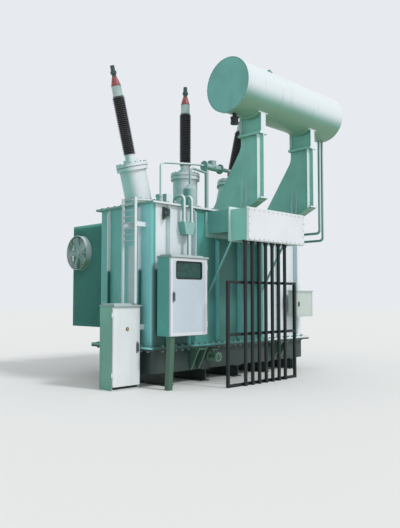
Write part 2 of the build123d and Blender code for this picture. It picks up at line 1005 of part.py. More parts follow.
def door_slab(left, length, front, bottom, top, side, levels):
    """Door panel with rounded corners and a barrel for each hinge pin."""
    axis_x = left - hinge_offset if side < 0 else left + length + hinge_offset
    axis_y = front - door_gap - door_thickness / 2
    with BuildPart() as body:
        with BuildSketch(Plane.XZ.offset(door_gap - front)):
            with Locations((left + length / 2, (bottom + top) / 2)):
                RectangleRounded(length, top - bottom, door_corner)
        extrude(amount=door_thickness)
        for level in levels:
            with BuildSketch(Plane.XY.offset(level)):
                with Locations((axis_x, axis_y)):
                    Circle(hinge_radius)
                    Rectangle(
                        hinge_offset,
                        hinge_radius,
                        align=(Align.MIN if side < 0 else Align.MAX, Align.CENTER),
                    )
                    Circle(hinge_pin + hinge_running_clearance, mode=Mode.SUBTRACT)
            extrude(amount=hinge_height)
    return body.part


def door_handle(x, front, level):
    """Upright pull on a door panel."""
    with BuildPart() as body:
        with BuildSketch(Plane.XZ.offset(door_gap + door_thickness - front)):
            with Locations((x, level)):
                SlotOverall(handle_height, handle_width, rotation=90)
        extrude(amount=handle_depth)
    return body.part


drive_x = along(drive_left)
drive_y = inward(-drive_front + door_gap + door_thickness)
drive_depth = front_wall - rib_depth - drive_y
drive_door_bottom = drive_bottom + door_gap
drive_door_top = drive_top - door_gap
drive_axis_x = drive_x + drive_length + hinge_offset
drive_hinge_levels = (drive_bottom + hinge_inset, drive_top - hinge_inset)
window_level = drive_door_top - window_top_gap - window_height / 2

with BuildPart() as drive_cabinet:
    add(cabinet_body(drive_x, drive_length, drive_y, drive_depth, drive_bottom, drive_top))

with BuildPart() as drive_leg:
    with BuildSketch(Plane.XY):
        with Locations((drive_x + drive_leg_foot, inward(-drive_leg_row))):
            Rectangle(drive_leg_side, drive_leg_side)
    with BuildSketch(Plane.XY.offset(drive_bottom)):
        with Locations((drive_x + drive_leg_foot + drive_leg_lean, inward(-drive_leg_row))):
            Rectangle(drive_leg_side, drive_leg_side)
    loft()

with BuildPart() as drive_door:
    add(
        door_slab(
            drive_x,
            drive_length,
            drive_y,
            drive_door_bottom,
            drive_door_top,
            1,
            drive_hinge_levels,
        )
    )
    with BuildSketch(Plane.XZ.offset(door_gap - drive_y)):
        with Locations((drive_x + drive_length / 2, window_level)):
            RectangleRounded(window_width, window_height, window_corner)
    extrude(amount=door_thickness, mode=Mode.SUBTRACT)

with BuildPart() as drive_window:
    with BuildSketch(Plane.XZ.offset(door_gap - drive_y + (door_thickness - window_glass) / 2)):
        with Locations((drive_x + drive_length / 2, window_level)):
            RectangleRounded(window_width, window_height, window_corner)
    extrude(amount=window_glass)

with BuildPart() as drive_handle:
    add(door_handle(drive_x + handle_inset, drive_y, (drive_bottom + drive_top) / 2))

marshal_x = along(-marshal_left)
marshal_y = inward(marshal_row + door_gap + door_thickness)
marshal_body_depth = marshal_depth - door_gap - door_thickness
marshal_axis_x = marshal_x - hinge_offset
marshal_hinge_levels = (marshal_plinth + hinge_inset, marshal_top - hinge_inset)

with BuildPart() as marshalling_cabinet:
    add(cabinet_body(marshal_x, marshal_length, marshal_y, marshal_body_depth, 0, marshal_top))

with BuildPart() as marshalling_door:
    add(
        door_slab(
            marshal_x,
            marshal_length,
            marshal_y,
            marshal_plinth,
            marshal_top - door_gap,
            -1,
            marshal_hinge_levels,
        )
    )

with BuildPart() as marshalling_handle:
    add(door_handle(marshal_x + marshal_length - handle_inset, marshal_y, marshal_top / 2))

with BuildPart() as cabinet_roofs:
    add(cabinet_roof(drive_x, drive_length, drive_y, drive_depth, drive_top))
    add(cabinet_roof(marshal_x, marshal_length, marshal_y, marshal_body_depth, marshal_top))

with BuildPart() as cabinet_hinges:
    add(hinge_arms(drive_axis_x, 1, drive_y, drive_hinge_levels))
    add(hinge_arms(marshal_axis_x, -1, marshal_y, marshal_hinge_levels))

# Cable tray standing on the marshalling cabinet, rungs above and a closed trunk below
tray_bottom = marshal_top + roof_thickness + roof_rise
tray_upper = cover_top + tray_top_rise
tray_x = left_end - tray_gap
tray_height = tray_upper - tray_bottom
rung_count = round(trunk_drop / tray_rung_pitch)
rail_rows = (tray_row, tray_row + tray_width - tray_rail)

with BuildPart() as cable_tray:
    for row in rail_rows:
        with Locations((tray_x, inward(row), tray_bottom)):
            Box(tray_depth, tray_rail, tray_height, align=(Align.MAX, Align.MIN, Align.MIN))
        with Locations((tray_x, inward(row), tray_upper - tray_arm_drop)):
            Box(tray_gap, tray_rail, tray_arm_height, align=(Align.MIN, Align.MIN, Align.CENTER))
    for number in range(rung_count):
        with Locations((tray_x, inward(tray_row), tray_upper - number * tray_rung_pitch)):
            Box(tray_rung, tray_width, tray_rung, align=(Align.MAX, Align.MIN, Align.MAX))
    with Locations((tray_x, inward(tray_row), tray_bottom)):
        Box(
            tray_depth,
            trunk_width,
            tray_height - trunk_drop,
            align=(Align.MAX, Align.MIN, Align.MIN),
        )
    with Locations((left_end, marshal_y + marshal_stay_inset, marshal_stay_level)):
        Box(
            marshal_left - marshal_length,
            tray_rail,
            marshal_stay_height,
            align=(Align.MAX, Align.MIN, Align.CENTER),
        )

# Low voltage cable box on its neck
lv_x = along(lv_left)
lv_y = inward(-lv_front)
lv_back = lv_y + lv_depth
lv_top = cover_underside - lv_top_drop
lv_bottom = lv_top - lv_height
lv_middle = (lv_bottom + lv_top) / 2
brace_foot = lv_bottom - brace_drop

with BuildPart() as lv_neck:
    with BuildSketch(Plane.XY.offset(neck_bottom)):
        with Locations((along(neck_left), front_wall)):
            Rectangle(neck_length, front_wall - lv_back, align=(Align.MIN, Align.MAX))
    extrude(amount=neck_height)
    with BuildSketch(Plane.XY.offset(neck_bottom - neck_flange_lip)):
        with Locations((along(neck_flange_left), front_wall)):
            Rectangle(neck_flange_length, neck_flange_thickness, align=(Align.MIN, Align.MAX))
    extrude(amount=neck_height + neck_flange_lip)

with BuildPart() as lv_braces:
    for place in (neck_left, neck_left + neck_length - brace_thickness):
        brace_plane = Plane(origin=(along(place), 0, 0), x_dir=(0, 1, 0), z_dir=(1, 0, 0))
        with BuildSketch(brace_plane):
            Polygon(
                (lv_back, lv_bottom),
                (lv_back, lv_bottom + brace_width),
                (front_wall, brace_foot + brace_width),
                (front_wall, brace_foot),
                align=None,
            )
        extrude(amount=brace_thickness)

with BuildPart() as lv_cable_box:
    with BuildSketch(Plane.XY.offset(lv_bottom)):
        with Locations((lv_x, lv_y + lv_cover_thickness)):
            Rectangle(lv_length, lv_depth - lv_cover_thickness, align=(Align.MIN, Align.MIN))
    extrude(amount=lv_height)
    with BuildSketch(Plane.XZ.offset(-lv_y - lv_cover_thickness)):
        with Locations((lv_x + lv_length / 2, lv_middle)):
            Rectangle(lv_length + 2 * lv_flange_lip, lv_height + 2 * lv_flange_lip)
    extrude(amount=-lv_cover_thickness)

with BuildPart() as lv_box_cover:
    with BuildSketch(Plane.XZ.offset(-lv_y)):
        with Locations((lv_x + lv_length / 2, lv_middle)):
            Rectangle(lv_length, lv_height)
    extrude(amount=-lv_cover_thickness)

# Cable rack with the power cables clamped to its front
rack_y = inward(-rack_row)
rail_length = rack_right - rack_left - rack_bar
cable_y = rack_y - (rack_bar + cable_diameter) / 2

with BuildPart() as rack_posts:
    for place in (rack_left, rack_right):
        with Locations((along(place), rack_y, 0)):
            Box(rack_bar, rack_bar, rack_height, align=standing)

with BuildPart() as rack_rails:
    for level in (0, rack_middle, rack_height - rack_bar):
        with Locations((along((rack_left + rack_right) / 2), rack_y, level)):
            Box(rail_length, rack_bar, rack_bar, align=standing)

with BuildPart() as power_cables:
    with BuildSketch(Plane.XY):
        for number in range(cable_count):
            with Locations((lv_x + cable_inset + number * cable_pitch, cable_y)):
                Circle(cable_diameter / 2)
    extrude(amount=lv_bottom)

# Radiators on the back wall
radiator_bottom = bell_bottom + radiator_bottom_rise
radiator_top = cover_underside - radiator_top_drop
radiator_pitch = (tank_length - 2 * radiator_inset - radiator_width) / (radiator_count - 1)
panel_span = radiator_reach - radiator_start - radiator_panel
panel_pitch = panel_span / (radiator_panel_count - 1)

with BuildPart() as radiator:
    with BuildSketch(Plane.XY.offset(radiator_bottom)):
        for number in range(radiator_panel_count):
            with Locations((0, back_wall + radiator_start + number * panel_pitch)):
                Rectangle(radiator_width, radiator_panel, align=(Align.CENTER, Align.MIN))
    extrude(amount=radiator_top - radiator_bottom)
    for level in (radiator_bottom + radiator_header_inset, radiator_top - radiator_header_inset):
        header_plane = Plane(origin=(0, back_wall, level), z_dir=(0, 1, 0))
        with BuildSketch(header_plane):
            Circle(radiator_header / 2)
        extrude(amount=radiator_reach)
        with BuildSketch(header_plane):
            Circle(radiator_flange / 2)
        extrude(amount=radiator_flange_thickness)

with BuildPart() as radiators:
    for number in range(radiator_count):
        radiator_place = radiator_inset + radiator_width / 2 + number * radiator_pitch
        add(radiator.part.moved(Location((along(radiator_place), 0, 0))))

# Cooling fan on the near face of the first radiator
fan_center = (along(radiator_inset), back_wall + radiator_reach - fan_inset, radiator_top - fan_drop)
fan_plane = Plane(origin=fan_center, z_dir=(-1, 0, 0))
fan_inner = fan_outer - 2 * fan_wall
rotor_start = fan_strut + fan_motor_depth + fan_gap
rotor_depth = fan_depth - rotor_start - fan_front_gap
guard_pitch = fan_inner / 2 / (guard_ring_count + 1)

with BuildPart() as fan_housing:
    with BuildSketch(fan_plane):
        Circle(fan_outer / 2)
        Circle(fan_inner / 2, mode=Mode.SUBTRACT)
    extrude(amount=fan_depth)
    with BuildSketch(fan_plane):
        with PolarLocations(0, fan_strut_count):
            Rectangle(fan_inner / 2 + fan_wall / 2, fan_strut, align=(Align.MIN, Align.CENTER))
    extrude(amount=fan_strut)
    with BuildSketch(fan_plane):
        Circle(fan_motor / 2)
    extrude(amount=fan_strut + fan_motor_depth)
    with BuildSketch(fan_plane.offset(fan_strut + fan_motor_depth)):
        Circle(fan_shaft / 2)
    extrude(amount=fan_gap + rotor_depth / 2)
    with BuildSketch(fan_plane.offset(fan_depth - guard_bar)):
        for number in range(guard_ring_count, 0, -1):
            Circle(number * guard_pitch + guard_bar / 2)
            Circle(number * guard_pitch - guard_bar / 2, mode=Mode.SUBTRACT)
        with PolarLocations(0, fan_strut_count):
            Rectangle(fan_inner / 2 + fan_wall / 2, guard_bar, align=(Align.MIN, Align.CENTER))
    extrude(amount=guard_bar)

blade_root = fan_hub * blade_root_share
rotor_middle = fan_plane.offset(rotor_start + rotor_depth / 2).origin

with BuildPart() as fan_rotor:
    for number in range(fan_blade_count):
        turn = radians(number * 360 / fan_blade_count)
        out = Vector(0, cos(turn), sin(turn))
        for radius, pitch in ((blade_root, fan_root_pitch), (fan_inner / 2, fan_tip_pitch)):
            blade_plane = Plane(
                origin=rotor_middle + out * radius,
                x_dir=(0, -out.Z, out.Y),
                z_dir=out,
            )
            with BuildSketch(blade_plane):
                Rectangle(fan_blade_chord, fan_blade_thickness, rotation=pitch)
        loft()
    with BuildSketch(fan_plane.offset(rotor_start)):
        Circle(fan_hub / 2)
    extrude(amount=rotor_depth)
    with BuildSketch(fan_plane.offset(rotor_start)):
        Circle(fan_inner / 2 - fan_tip_gap)
        Circle(fan_shaft / 2 + fan_shaft_clearance, mode=Mode.SUBTRACT)
    extrude(amount=rotor_depth, mode=Mode.INTERSECT)

# Small closed cabinet at the far end of the front wall
far_cabinet_x = right_end - far_cabinet_inset - far_cabinet_length / 2
far_cabinet_depth = far_cabinet_front - rib_depth
far_cabinet_bottom = bell_bottom + far_cabinet_rise

with BuildPart() as far_cabinet:
    with BuildSketch(Plane.XY.offset(far_cabinet_bottom)):
        with Locations((far_cabinet_x, front_wall - rib_depth)):
            Rectangle(far_cabinet_length, far_cabinet_depth, align=(Align.CENTER, Align.MAX))
    extrude(amount=far_cabinet_height)
    fillet(far_cabinet.edges().filter_by(Axis.Z), far_cabinet_edge)
    with BuildSketch(Plane.XY.offset(far_cabinet_bottom + far_cabinet_height)):
        with Locations((far_cabinet_x, front_wall - rib_depth)):
            Rectangle(
                far_cabinet_length + 2 * far_cabinet_lip,
                far_cabinet_depth + far_cabinet_lip,
                align=(Align.CENTER, Align.MAX),
            )
    extrude(amount=roof_thickness)

pieces = {
    "skid_beams": skid_beams,
    "lower_tank": lower_tank,
    "bell_tank": bell_tank,
    "tank_cover": tank_cover,
    "wall_ribs": wall_ribs,
    "lifting_lugs": lifting_lugs,
    "jacking_pads": jacking_pads,
    "drain_valve": drain_valve,
    "turrets": turrets,
    "insulators": insulators,
    "bushing_heads": bushing_heads,
    "conservator_barrel": conservator_barrel,
    "conservator_near_cap": conservator_near_cap,
    "conservator_far_cap": conservator_far_cap,
    "conservator_brackets": conservator_brackets,
    "conservator_saddles": conservator_saddles,
    "gas_pipe": gas_pipe,
    "gas_relay": gas_relay,
    "oil_pipes": oil_pipes,
    "drop_pipes": drop_pipes,
    "tap_changer_head": tap_changer_head,
    "conduit_pocket": conduit_pocket,
    "conduits": conduits,
    "drive_cabinet": drive_cabinet,
    "drive_leg": drive_leg,
    "drive_door": drive_door,
    "drive_window": drive_window,
    "drive_handle": drive_handle,
    "marshalling_cabinet": marshalling_cabinet,
    "marshalling_door": marshalling_door,
    "marshalling_handle": marshalling_handle,
    "cabinet_roofs": cabinet_roofs,
    "cabinet_hinges": cabinet_hinges,
    "cable_tray": cable_tray,
    "lv_neck": lv_neck,
    "lv_braces": lv_braces,
    "lv_cable_box": lv_cable_box,
    "lv_box_cover": lv_box_cover,
    "rack_posts": rack_posts,
    "rack_rails": rack_rails,
    "power_cables": power_cables,
    "radiators": radiators,
    "fan_housing": fan_housing,
    "fan_rotor": fan_rotor,
    "far_cabinet": far_cabinet,
}

for name, piece in pieces.items():
    piece.part.label = name
    export_step(piece.part, f"parts/{name}.step")
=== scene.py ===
import math

import bmesh
import bpy
from mathutils import Matrix, Vector


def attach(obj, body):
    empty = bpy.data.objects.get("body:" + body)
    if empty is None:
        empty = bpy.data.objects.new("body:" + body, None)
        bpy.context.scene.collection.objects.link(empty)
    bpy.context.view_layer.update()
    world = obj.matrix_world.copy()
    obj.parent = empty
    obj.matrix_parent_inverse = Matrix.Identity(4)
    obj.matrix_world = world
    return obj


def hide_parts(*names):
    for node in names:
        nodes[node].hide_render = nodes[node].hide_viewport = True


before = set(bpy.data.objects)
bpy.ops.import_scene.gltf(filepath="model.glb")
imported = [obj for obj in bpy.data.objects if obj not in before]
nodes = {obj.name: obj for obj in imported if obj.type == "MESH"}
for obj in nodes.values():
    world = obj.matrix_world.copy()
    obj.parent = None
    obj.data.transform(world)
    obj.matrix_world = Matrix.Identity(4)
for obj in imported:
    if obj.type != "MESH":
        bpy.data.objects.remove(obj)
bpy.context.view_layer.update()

# Camera and light
camera_place = (-8.109, -7.743, 1.394)
camera_forward = (0.7117, 0.7003, 0.0549)
focal_px = 602.157
image_height_px = 528
sensor_mm = 36
sun_direction = (-0.16, 0.70, -0.70)
sun_strength = 1.50
sun_angle = math.radians(10)
world_strength = 0.70
backdrop_color = (0.80, 0.83, 0.87)
floor_color = (0.78, 0.79, 0.79)
floor_roughness = 0.9
floor_size = 120

# Paint and material colours as sRGB bytes
teal = (108, 178, 170)
tank_teal = (90, 168, 160)
# Painted light: paler teal for the conservator supports and the cable box
support_lit_teal = (130, 202, 188)
# Painted light: paler teal for the turrets
turret_lit_teal = (148, 202, 198)
drive_teal = (74, 160, 152)
cabinet_green = (106, 170, 152)
pipe_teal = (84, 150, 144)
bolt_teal = (84, 140, 132)
# Painted light: the pale that faces turned to the lit side are mixed towards
lit_pale = (224, 230, 234)
# Painted shade: olive that faces turned downwards are mixed towards
underside_shade_olive = (112, 150, 118)
# Painted shade: dark teal for the lower tank, the skids and the lifting lugs, then the pale of its painted
# light
shaded_dark_teal = (36, 59, 57)
dark_lit_pale = (60, 78, 74)
radiator_teal = (76, 168, 156)
radiator_lit_pale = (120, 176, 166)
# Painted light on the radiators is mixed towards this pale
fan_teal = (140, 184, 178)
tray_pale = (160, 188, 190)
# Painted shade: grey for the cabinet roofs
roof_shade_grey = (118, 150, 148)
cover_teal = (102, 154, 147)
# Painted light on the end wall by the front corner
corner_painted_light = (135, 210, 211)
# Painted shade on the front wall
shade_green = (40, 74, 70)
white_paint = (228, 234, 236)
far_white = (192, 205, 199)
grey_paint = (198, 213, 222)
bright_white = (221, 225, 229)
rack_black = (8, 22, 24)
cable_black = (18, 26, 28)
porcelain_dark = (53, 53, 56)
bushing_pale = (170, 193, 189)
terminal_red = (150, 74, 74)
stud_green = (64, 88, 82)
dark_steel = (46, 52, 54)
handle_grey = (92, 106, 110)
lock_grey = (150, 162, 166)
glass_dark = (46, 94, 86)
gear_pale = (150, 178, 170)
gear_dark = (50, 80, 74)
gasket_black = (22, 30, 30)
indicator_amber = (184, 150, 78)
leg_green = (72, 112, 94)
soil_brown = (86, 88, 78)
streak_grey = (74, 98, 92)

# How the paint has weathered, and where light and shade are painted into it
# Painted light: faces turned towards this side are paler, over these ranges of facing
lit_side = (0.10, -0.72, 0.69)
lit_range = (0.20, 0.70)
turret_lit_range = (0.00, 0.55)
tank_lit_range = (0.54, 0.70)
rib_lit_range = (-0.50, 0.10)
patch_scale = 1.6
streak_scale = 9
streak_stretch = (1, 1, 0.06)
grain_scale = 130
patch_detail = 4
streak_detail = 3
grain_detail = 2
patch_limits = (0.32, 0.72)
patch_shade = 0.80
underside_limits = (0.1, 0.8)
underside_amount = 0.9
streak_limits = (0.55, 0.8)
soil_limits = (0.3, 0.7)
soil_height = 0.9
paint_gloss_spread = (-0.08, 0.14)
paint_grain_strength = 0.08
grain_depth = 0.002
# Painted shadow of the cabinet and the cable box on the front wall: no painted light within these limits
shadow_left = -1.07
shadow_right = 0.72
shadow_top = 2.86
shadow_low = 1.80
shadow_blur = 0.06
# Painted light on the end wall, growing towards the front corner
corner_from = 0.10
corner_full = -0.45
corner_amount = 0.95
corner_limits = (0.6, 0.9)
front_limits = (0.2, 0.7)
# Painted shade on the front wall beside the cabinet and under the cable box: X span, top, amount
painted_shade_zones = (((-2.00, -1.30), 1.80, 0.80), ((-0.68, 0.50), 2.50, 0.48))
shade_blur = 0.16

# Mottling of plain materials and the painted reflections on the window
mottle_scale = 6
mottle_detail = 4
mottle_limits = (0.3, 0.7)
mottle_gloss_spread = (-0.05, 0.1)
plain_grain_strength = 0.06
reflection_scale = 5
reflection_detail = 3
reflection_limits = (0.3, 0.7)
reflection_shade = 0.7

# Bolts: shares of the head's radius, then the heads' radii
washer_share = 1.4
washer_rise_share = 0.22
head_rise_share = 0.85
head_chamfer_share = 0.86
flange_bolt = 0.021
cover_bolt = 0.017
ring_bolt = 0.015
small_bolt = 0.011

# Steps round turned pieces, and angles past which an edge stays sharp
washer_steps = 12
hexagon_steps = 6
corner_steps = 6
bushing_steps = 48
head_steps = 40
stud_steps = 32
seam_steps = 96
sump_steps = 28
wheel_steps = 32
wheel_wire_steps = 10
spoke_steps = 8
hub_steps = 20
header_steps = 24
fan_steps = 64
motor_steps = 32
strut_steps = 12
guard_steps = 48
guard_wire_steps = 6
dial_steps = 28
lock_steps = 20
indicator_steps = 28
gland_steps = 24
collar_steps = 24
sharp_angle = 35
shed_sharp_angle = 50
seam_sharp_angle = 60
weld_distance = 0.00001

# Tank
tank_half_length = 1.98
tank_half_width = 0.70
rib_span = 3.40
rib_bays = 6
rib_pitch = rib_span / rib_bays
bolts_per_rib_bay = 4
end_bolt_pitch = 0.16
end_bolt_count = 9
joint_flange_reach = 0.055
joint_flange_top = 0.625
joint_flange_foot = 0.565
cover_reach = 0.030
cover_bolt_pitch = 0.17
support_spots = (0.11, 1.63)
support_clearance = 0.11
pad_spots = (-1.095, 1.095)
pad_clearance = 0.13
drain_clearance = 0.12

# Bushings
bushing_spots = ((-1.859, -15), (-0.616, 0), (0.627, 15))
bushing_row = 0.005
turret_top = 3.607
turret_foot_level = 0.110
turret_bolt_ring = 0.238
turret_bolt_count = 16
foot_bolt_ring = 0.276
foot_bolt_count = 20
gasket_drop = 0.060
gasket_width = 0.008
gasket_radius = 0.2625
insulator_start = 0.150
insulator_end = 1.095
shed_count = 30
shed_core = 0.083
shed_radius = 0.104
shed_shares = (
    (0.00, 0.00),
    (0.82, 0.07),
    (0.98, 0.15),
    (1.00, 0.24),
    (0.92, 0.34),
    (0.45, 0.62),
    (0.06, 0.90),
)
head_rim = 0.090
head_radius = 0.080
head_rim_rise = 0.024
head_end = 1.268
cone_foot = 0.080
cone_top = 0.043
cone_end = 1.415
stud_radius = 0.036
stud_end = 1.600
stud_clamp = 0.050
stud_clamp_from = 1.460
stud_clamp_to = 1.510
edge_round = 0.006

# Conservator
conservator_axis = (-0.97, 5.03)
conservator_radius = 0.4575
conservator_cap_x = -0.560
conservator_seams = (0.42, 1.40)
cap_bolt = 0.008
cap_bolt_ring = 0.466
cap_bolt_count = 40
seam_width = 0.014
seam_rise = 0.004
saddle_bolt_spots = ((-0.08, -0.20), (0.08, -0.20), (-0.08, 0.20), (0.08, 0.20))
saddle_seat_top = 4.302

# Cover fittings
cover_top = 2.890
tap_head_spot = (1.230, 0.020)
tap_flange_rise = 0.040
tap_bolt_ring = 0.335
tap_bolt_count = 24
dome_spot = (-0.990, -0.500)
dome_flange_rise = 0.024
dome_bolt_ring = 0.135
dome_bolt_count = 10
relay_ends = (-0.530, -0.100)
relay_axis = (-0.380, 3.720)
relay_bolt_ring = 0.075
relay_bolt_count = 8
relay_flange_thickness = 0.020

# Drain valve
drain_x = -0.730
drain_stem_y = -0.795
drain_stem_top = 0.530
drain_face_y = -0.912
drain_level = 0.400
drain_bolt_ring = 0.064
drain_bolt_count = 8
wheel_radius = 0.075
wheel_wire = 0.008
wheel_hub = 0.020
wheel_spokes = 4
wheel_spoke_share = 0.8

# Radiators
radiator_spots = (-1.44, -0.72, 0.0, 0.72, 1.44)
radiator_width = 0.520
radiator_first_row = 1.030
radiator_last_row = 1.903
radiator_panel = 0.012
radiator_panel_count = 19
radiator_bottom = 0.860
radiator_top = 2.720
panel_thickness = 0.014
panel_seam = 0.004
panel_flutes = 6
panel_steps = 4
panel_seam_rise = 0.035
panel_round_rise = 0.085
header_radius = 0.045
header_levels = (0.940, 2.640)
header_flange_radius = 0.085
header_flange_thickness = 0.024
header_bolt_ring = 0.066
header_bolt_count = 8
back_wall_y = 0.700
radiator_end_y = 1.915

# Fan
fan_center = (-1.70, 1.646, 2.208)
fan_depth = 0.120
fan_radius = 0.320
fan_inner = 0.304
fan_lip = 0.006
guard_wire = 0.0045
guard_rings = 8
guard_spokes = 8
guard_first_ring = 0.050
fan_strut_width = 0.024
fan_strut_count = 4
fan_motor_radius = 0.070
fan_motor_end = 0.054
fan_shaft_radius = 0.012
fan_shaft_end = 0.081

# Doors
door_corner = 0.012
drive_door_box = ((-1.977, -1.190), (0.806, 1.994))
drive_door_front = -1.091
drive_frame_band = 0.048
drive_frame_rise = 0.005
window_center = (-1.5835, 1.808)
window_size = (0.566, 0.280)
window_corner = 0.040
window_glass_front = -1.083
window_band = 0.020
window_rise = 0.013
marshal_door_front = -0.520
indicator_spot = (-2.341, 0.910)
indicator_radius = 0.020
indicator_rim = 0.028
indicator_rise = 0.014
lens_shares = ((1.0, 0.5), (0.8, 0.85), (0.4, 1.0))
lock_plate = (0.036, 0.176)
lock_plate_corner = 0.010
lock_plate_rise = 0.003
drive_lock_spot = (-1.922, 1.400)
marshal_lock_spot = (-2.148, 0.625)
lock_drop = 0.078
lock_radius = 0.012
lock_rise = 0.012

# Cable box, rack and cables
box_cover_x = (-0.827, 0.684)
box_cover_z = (2.304, 2.816)
box_cover_front = -1.657
box_bolt_inset = 0.026
box_bolt_pitch = 0.125
cable_first = -0.790
cable_pitch = 0.173
cable_count = 7
cable_row = -1.551
cable_radius = 0.029
gland_top = 2.304
gland_outline = (
    (0.0295, -0.070),
    (0.036, -0.066),
    (0.036, -0.030),
    (0.044, -0.028),
    (0.044, -0.006),
    (0.048, 0.0),
)
cleat_levels = (0.810, 1.628)
cleat_height = 0.036
cleat_strap = 0.005
cleat_gap = 0.0005
cleat_ear = 0.022
cleat_steps = 12
cleat_bolt = 0.006
rack_front = -1.522
box_flange_back = -1.256
box_flange_lip = 0.045
box_flange_foot = 0.008
box_flange_thickness = 0.024

# Sump valve under the barrel
sump_spot = (-0.374, -0.970, 4.380)
sump_outline = (
    (0, -0.002),
    (0.068, -0.002),
    (0.072, 0.006),
    (0.072, 0.030),
    (0.067, 0.034),
    (0.067, 0.090),
    (0.072, 0.094),
    (0.072, 0.120),
    (0.067, 0.127),
    (0.034, 0.127),
    (0.034, 0.190),
)

# Drive gear behind the window
gear_plate_front = -0.960
gear_plate_thickness = 0.157
gear_blocks = (
    ((-0.240, -0.060), (0.020, 0.100), 0.060),
    ((-0.030, 0.080), (0.030, 0.090), 0.050),
    ((0.110, 0.240), (-0.010, 0.105), 0.070),
    ((-0.230, 0.020), (-0.100, -0.030), 0.055),
)
gear_dial_spot = (0.130, -0.070)
gear_dial_radius = 0.055
gear_dial_depth = 0.045

# Conduit collars and the far cabinet
conduit_spots = (-1.420, -1.250)
conduit_pocket_spot = (-0.797, 2.600)
conduit_cover_row = -0.575
conduit_radius = 0.028
collar_radius = 0.038
collar_height = 0.030
far_door_box = ((1.400, 1.885), (1.035, 1.485))
far_door_front = -1.000
far_door_band = 0.014
far_door_rise = 0.004
far_latch_spot = (1.430, 1.260)
far_latch_size = (0.022, 0.090)
far_latch_corner = 0.010
far_latch_rise = 0.018


# Materials
def linear(color, shade=1.0):
    """sRGB bytes to linear values, darkened by a shade factor."""
    out = []
    for byte in color:
        value = byte / 255
        value = value / 12.92 if value <= 0.04045 else ((value + 0.055) / 1.055) ** 2.4
        out.append(value * shade)
    return (*out, 1.0)


def new_material(name):
    material = bpy.data.materials.new(name)
    material.use_nodes = True
    tree = material.node_tree
    return material, tree, tree.nodes["Principled BSDF"]


def noise(tree, place, scale, detail, stretch=(1, 1, 1)):
    """Noise over the object's own coordinates, in metres."""
    mapping = tree.nodes.new("ShaderNodeMapping")
    mapping.inputs["Scale"].default_value = stretch
    tree.links.new(place, mapping.inputs["Vector"])
    texture = tree.nodes.new("ShaderNodeTexNoise")
    texture.inputs["Scale"].default_value = scale
    texture.inputs["Detail"].default_value = detail
    tree.links.new(mapping.outputs["Vector"], texture.inputs["Vector"])
    return texture.outputs["Fac"]


def ramp(tree, source, low, high):
    """Maps a value between low and high to 0 to 1, smoothly."""
    node = tree.nodes.new("ShaderNodeMapRange")
    node.interpolation_type = "SMOOTHSTEP"
    node.inputs["From Min"].default_value = low
    node.inputs["From Max"].default_value = high
    tree.links.new(source, node.inputs["Value"])
    return node.outputs["Result"]


def spread(tree, source, low, high):
    """Maps 0 to 1 onto the span from low to high."""
    node = tree.nodes.new("ShaderNodeMapRange")
    node.inputs["To Min"].default_value = low
    node.inputs["To Max"].default_value = high
    tree.links.new(source, node.inputs["Value"])
    return node.outputs["Result"]


def product(tree, first, second):
    """Multiplies a socket by a socket or by a number."""
    node = tree.nodes.new("ShaderNodeMath")
    node.operation = "MULTIPLY"
    tree.links.new(first, node.inputs[0])
    if isinstance(second, (int, float)):
        node.inputs[1].default_value = second
    else:
        tree.links.new(second, node.inputs[1])
    return node.outputs["Value"]


def mix(tree, factor, first, second):
    """Mixes two colours, each a socket or a fixed colour."""
    node = tree.nodes.new("ShaderNodeMix")
    node.data_type = "RGBA"
    tree.links.new(factor, node.inputs["Factor"])
    for name, value in (("A", first), ("B", second)):
        slot = [entry for entry in node.inputs if entry.name == name and entry.type == "RGBA"][0]
        if isinstance(value, tuple):
            slot.default_value = value
        else:
            tree.links.new(value, slot)
    return [entry for entry in node.outputs if entry.type == "RGBA"][0]


def bump(tree, shader, height, strength, distance):
    node = tree.nodes.new("ShaderNodeBump")
    node.inputs["Strength"].default_value = strength
    node.inputs["Distance"].default_value = distance
    tree.links.new(height, node.inputs["Height"])
    tree.links.new(node.outputs["Normal"], shader.inputs["Normal"])


def facing(tree, direction):
    """How far the surface faces a fixed direction, from -1 to 1."""
    geometry = tree.nodes.new("ShaderNodeNewGeometry")
    node = tree.nodes.new("ShaderNodeVectorMath")
    node.operation = "DOT_PRODUCT"
    tree.links.new(geometry.outputs["Normal"], node.inputs[0])
    node.inputs[1].default_value = direction
    return node.outputs["Value"]


def outside_painted_shadow(tree, place):
    """1 on the front wall outside the painted shadow, 0 in the painted shadow of the cabinet and the cable
    box.
    """
    split = tree.nodes.new("ShaderNodeSeparateXYZ")
    tree.links.new(place, split.inputs["Vector"])
    before = ramp(tree, split.outputs["X"], shadow_left, shadow_left - shadow_blur)
    before = product(tree, before, ramp(tree, split.outputs["Z"], shadow_low, shadow_low + shadow_blur))
    beyond = ramp(tree, split.outputs["X"], shadow_right, shadow_right + shadow_blur)
    above = ramp(tree, split.outputs["Z"], shadow_top, shadow_top + shadow_blur)
    total = before
    for share in (beyond, above):
        node = tree.nodes.new("ShaderNodeMath")
        node.operation = "MAXIMUM"
        tree.links.new(total, node.inputs[0])
        tree.links.new(share, node.inputs[1])
        total = node.outputs["Value"]
    return total


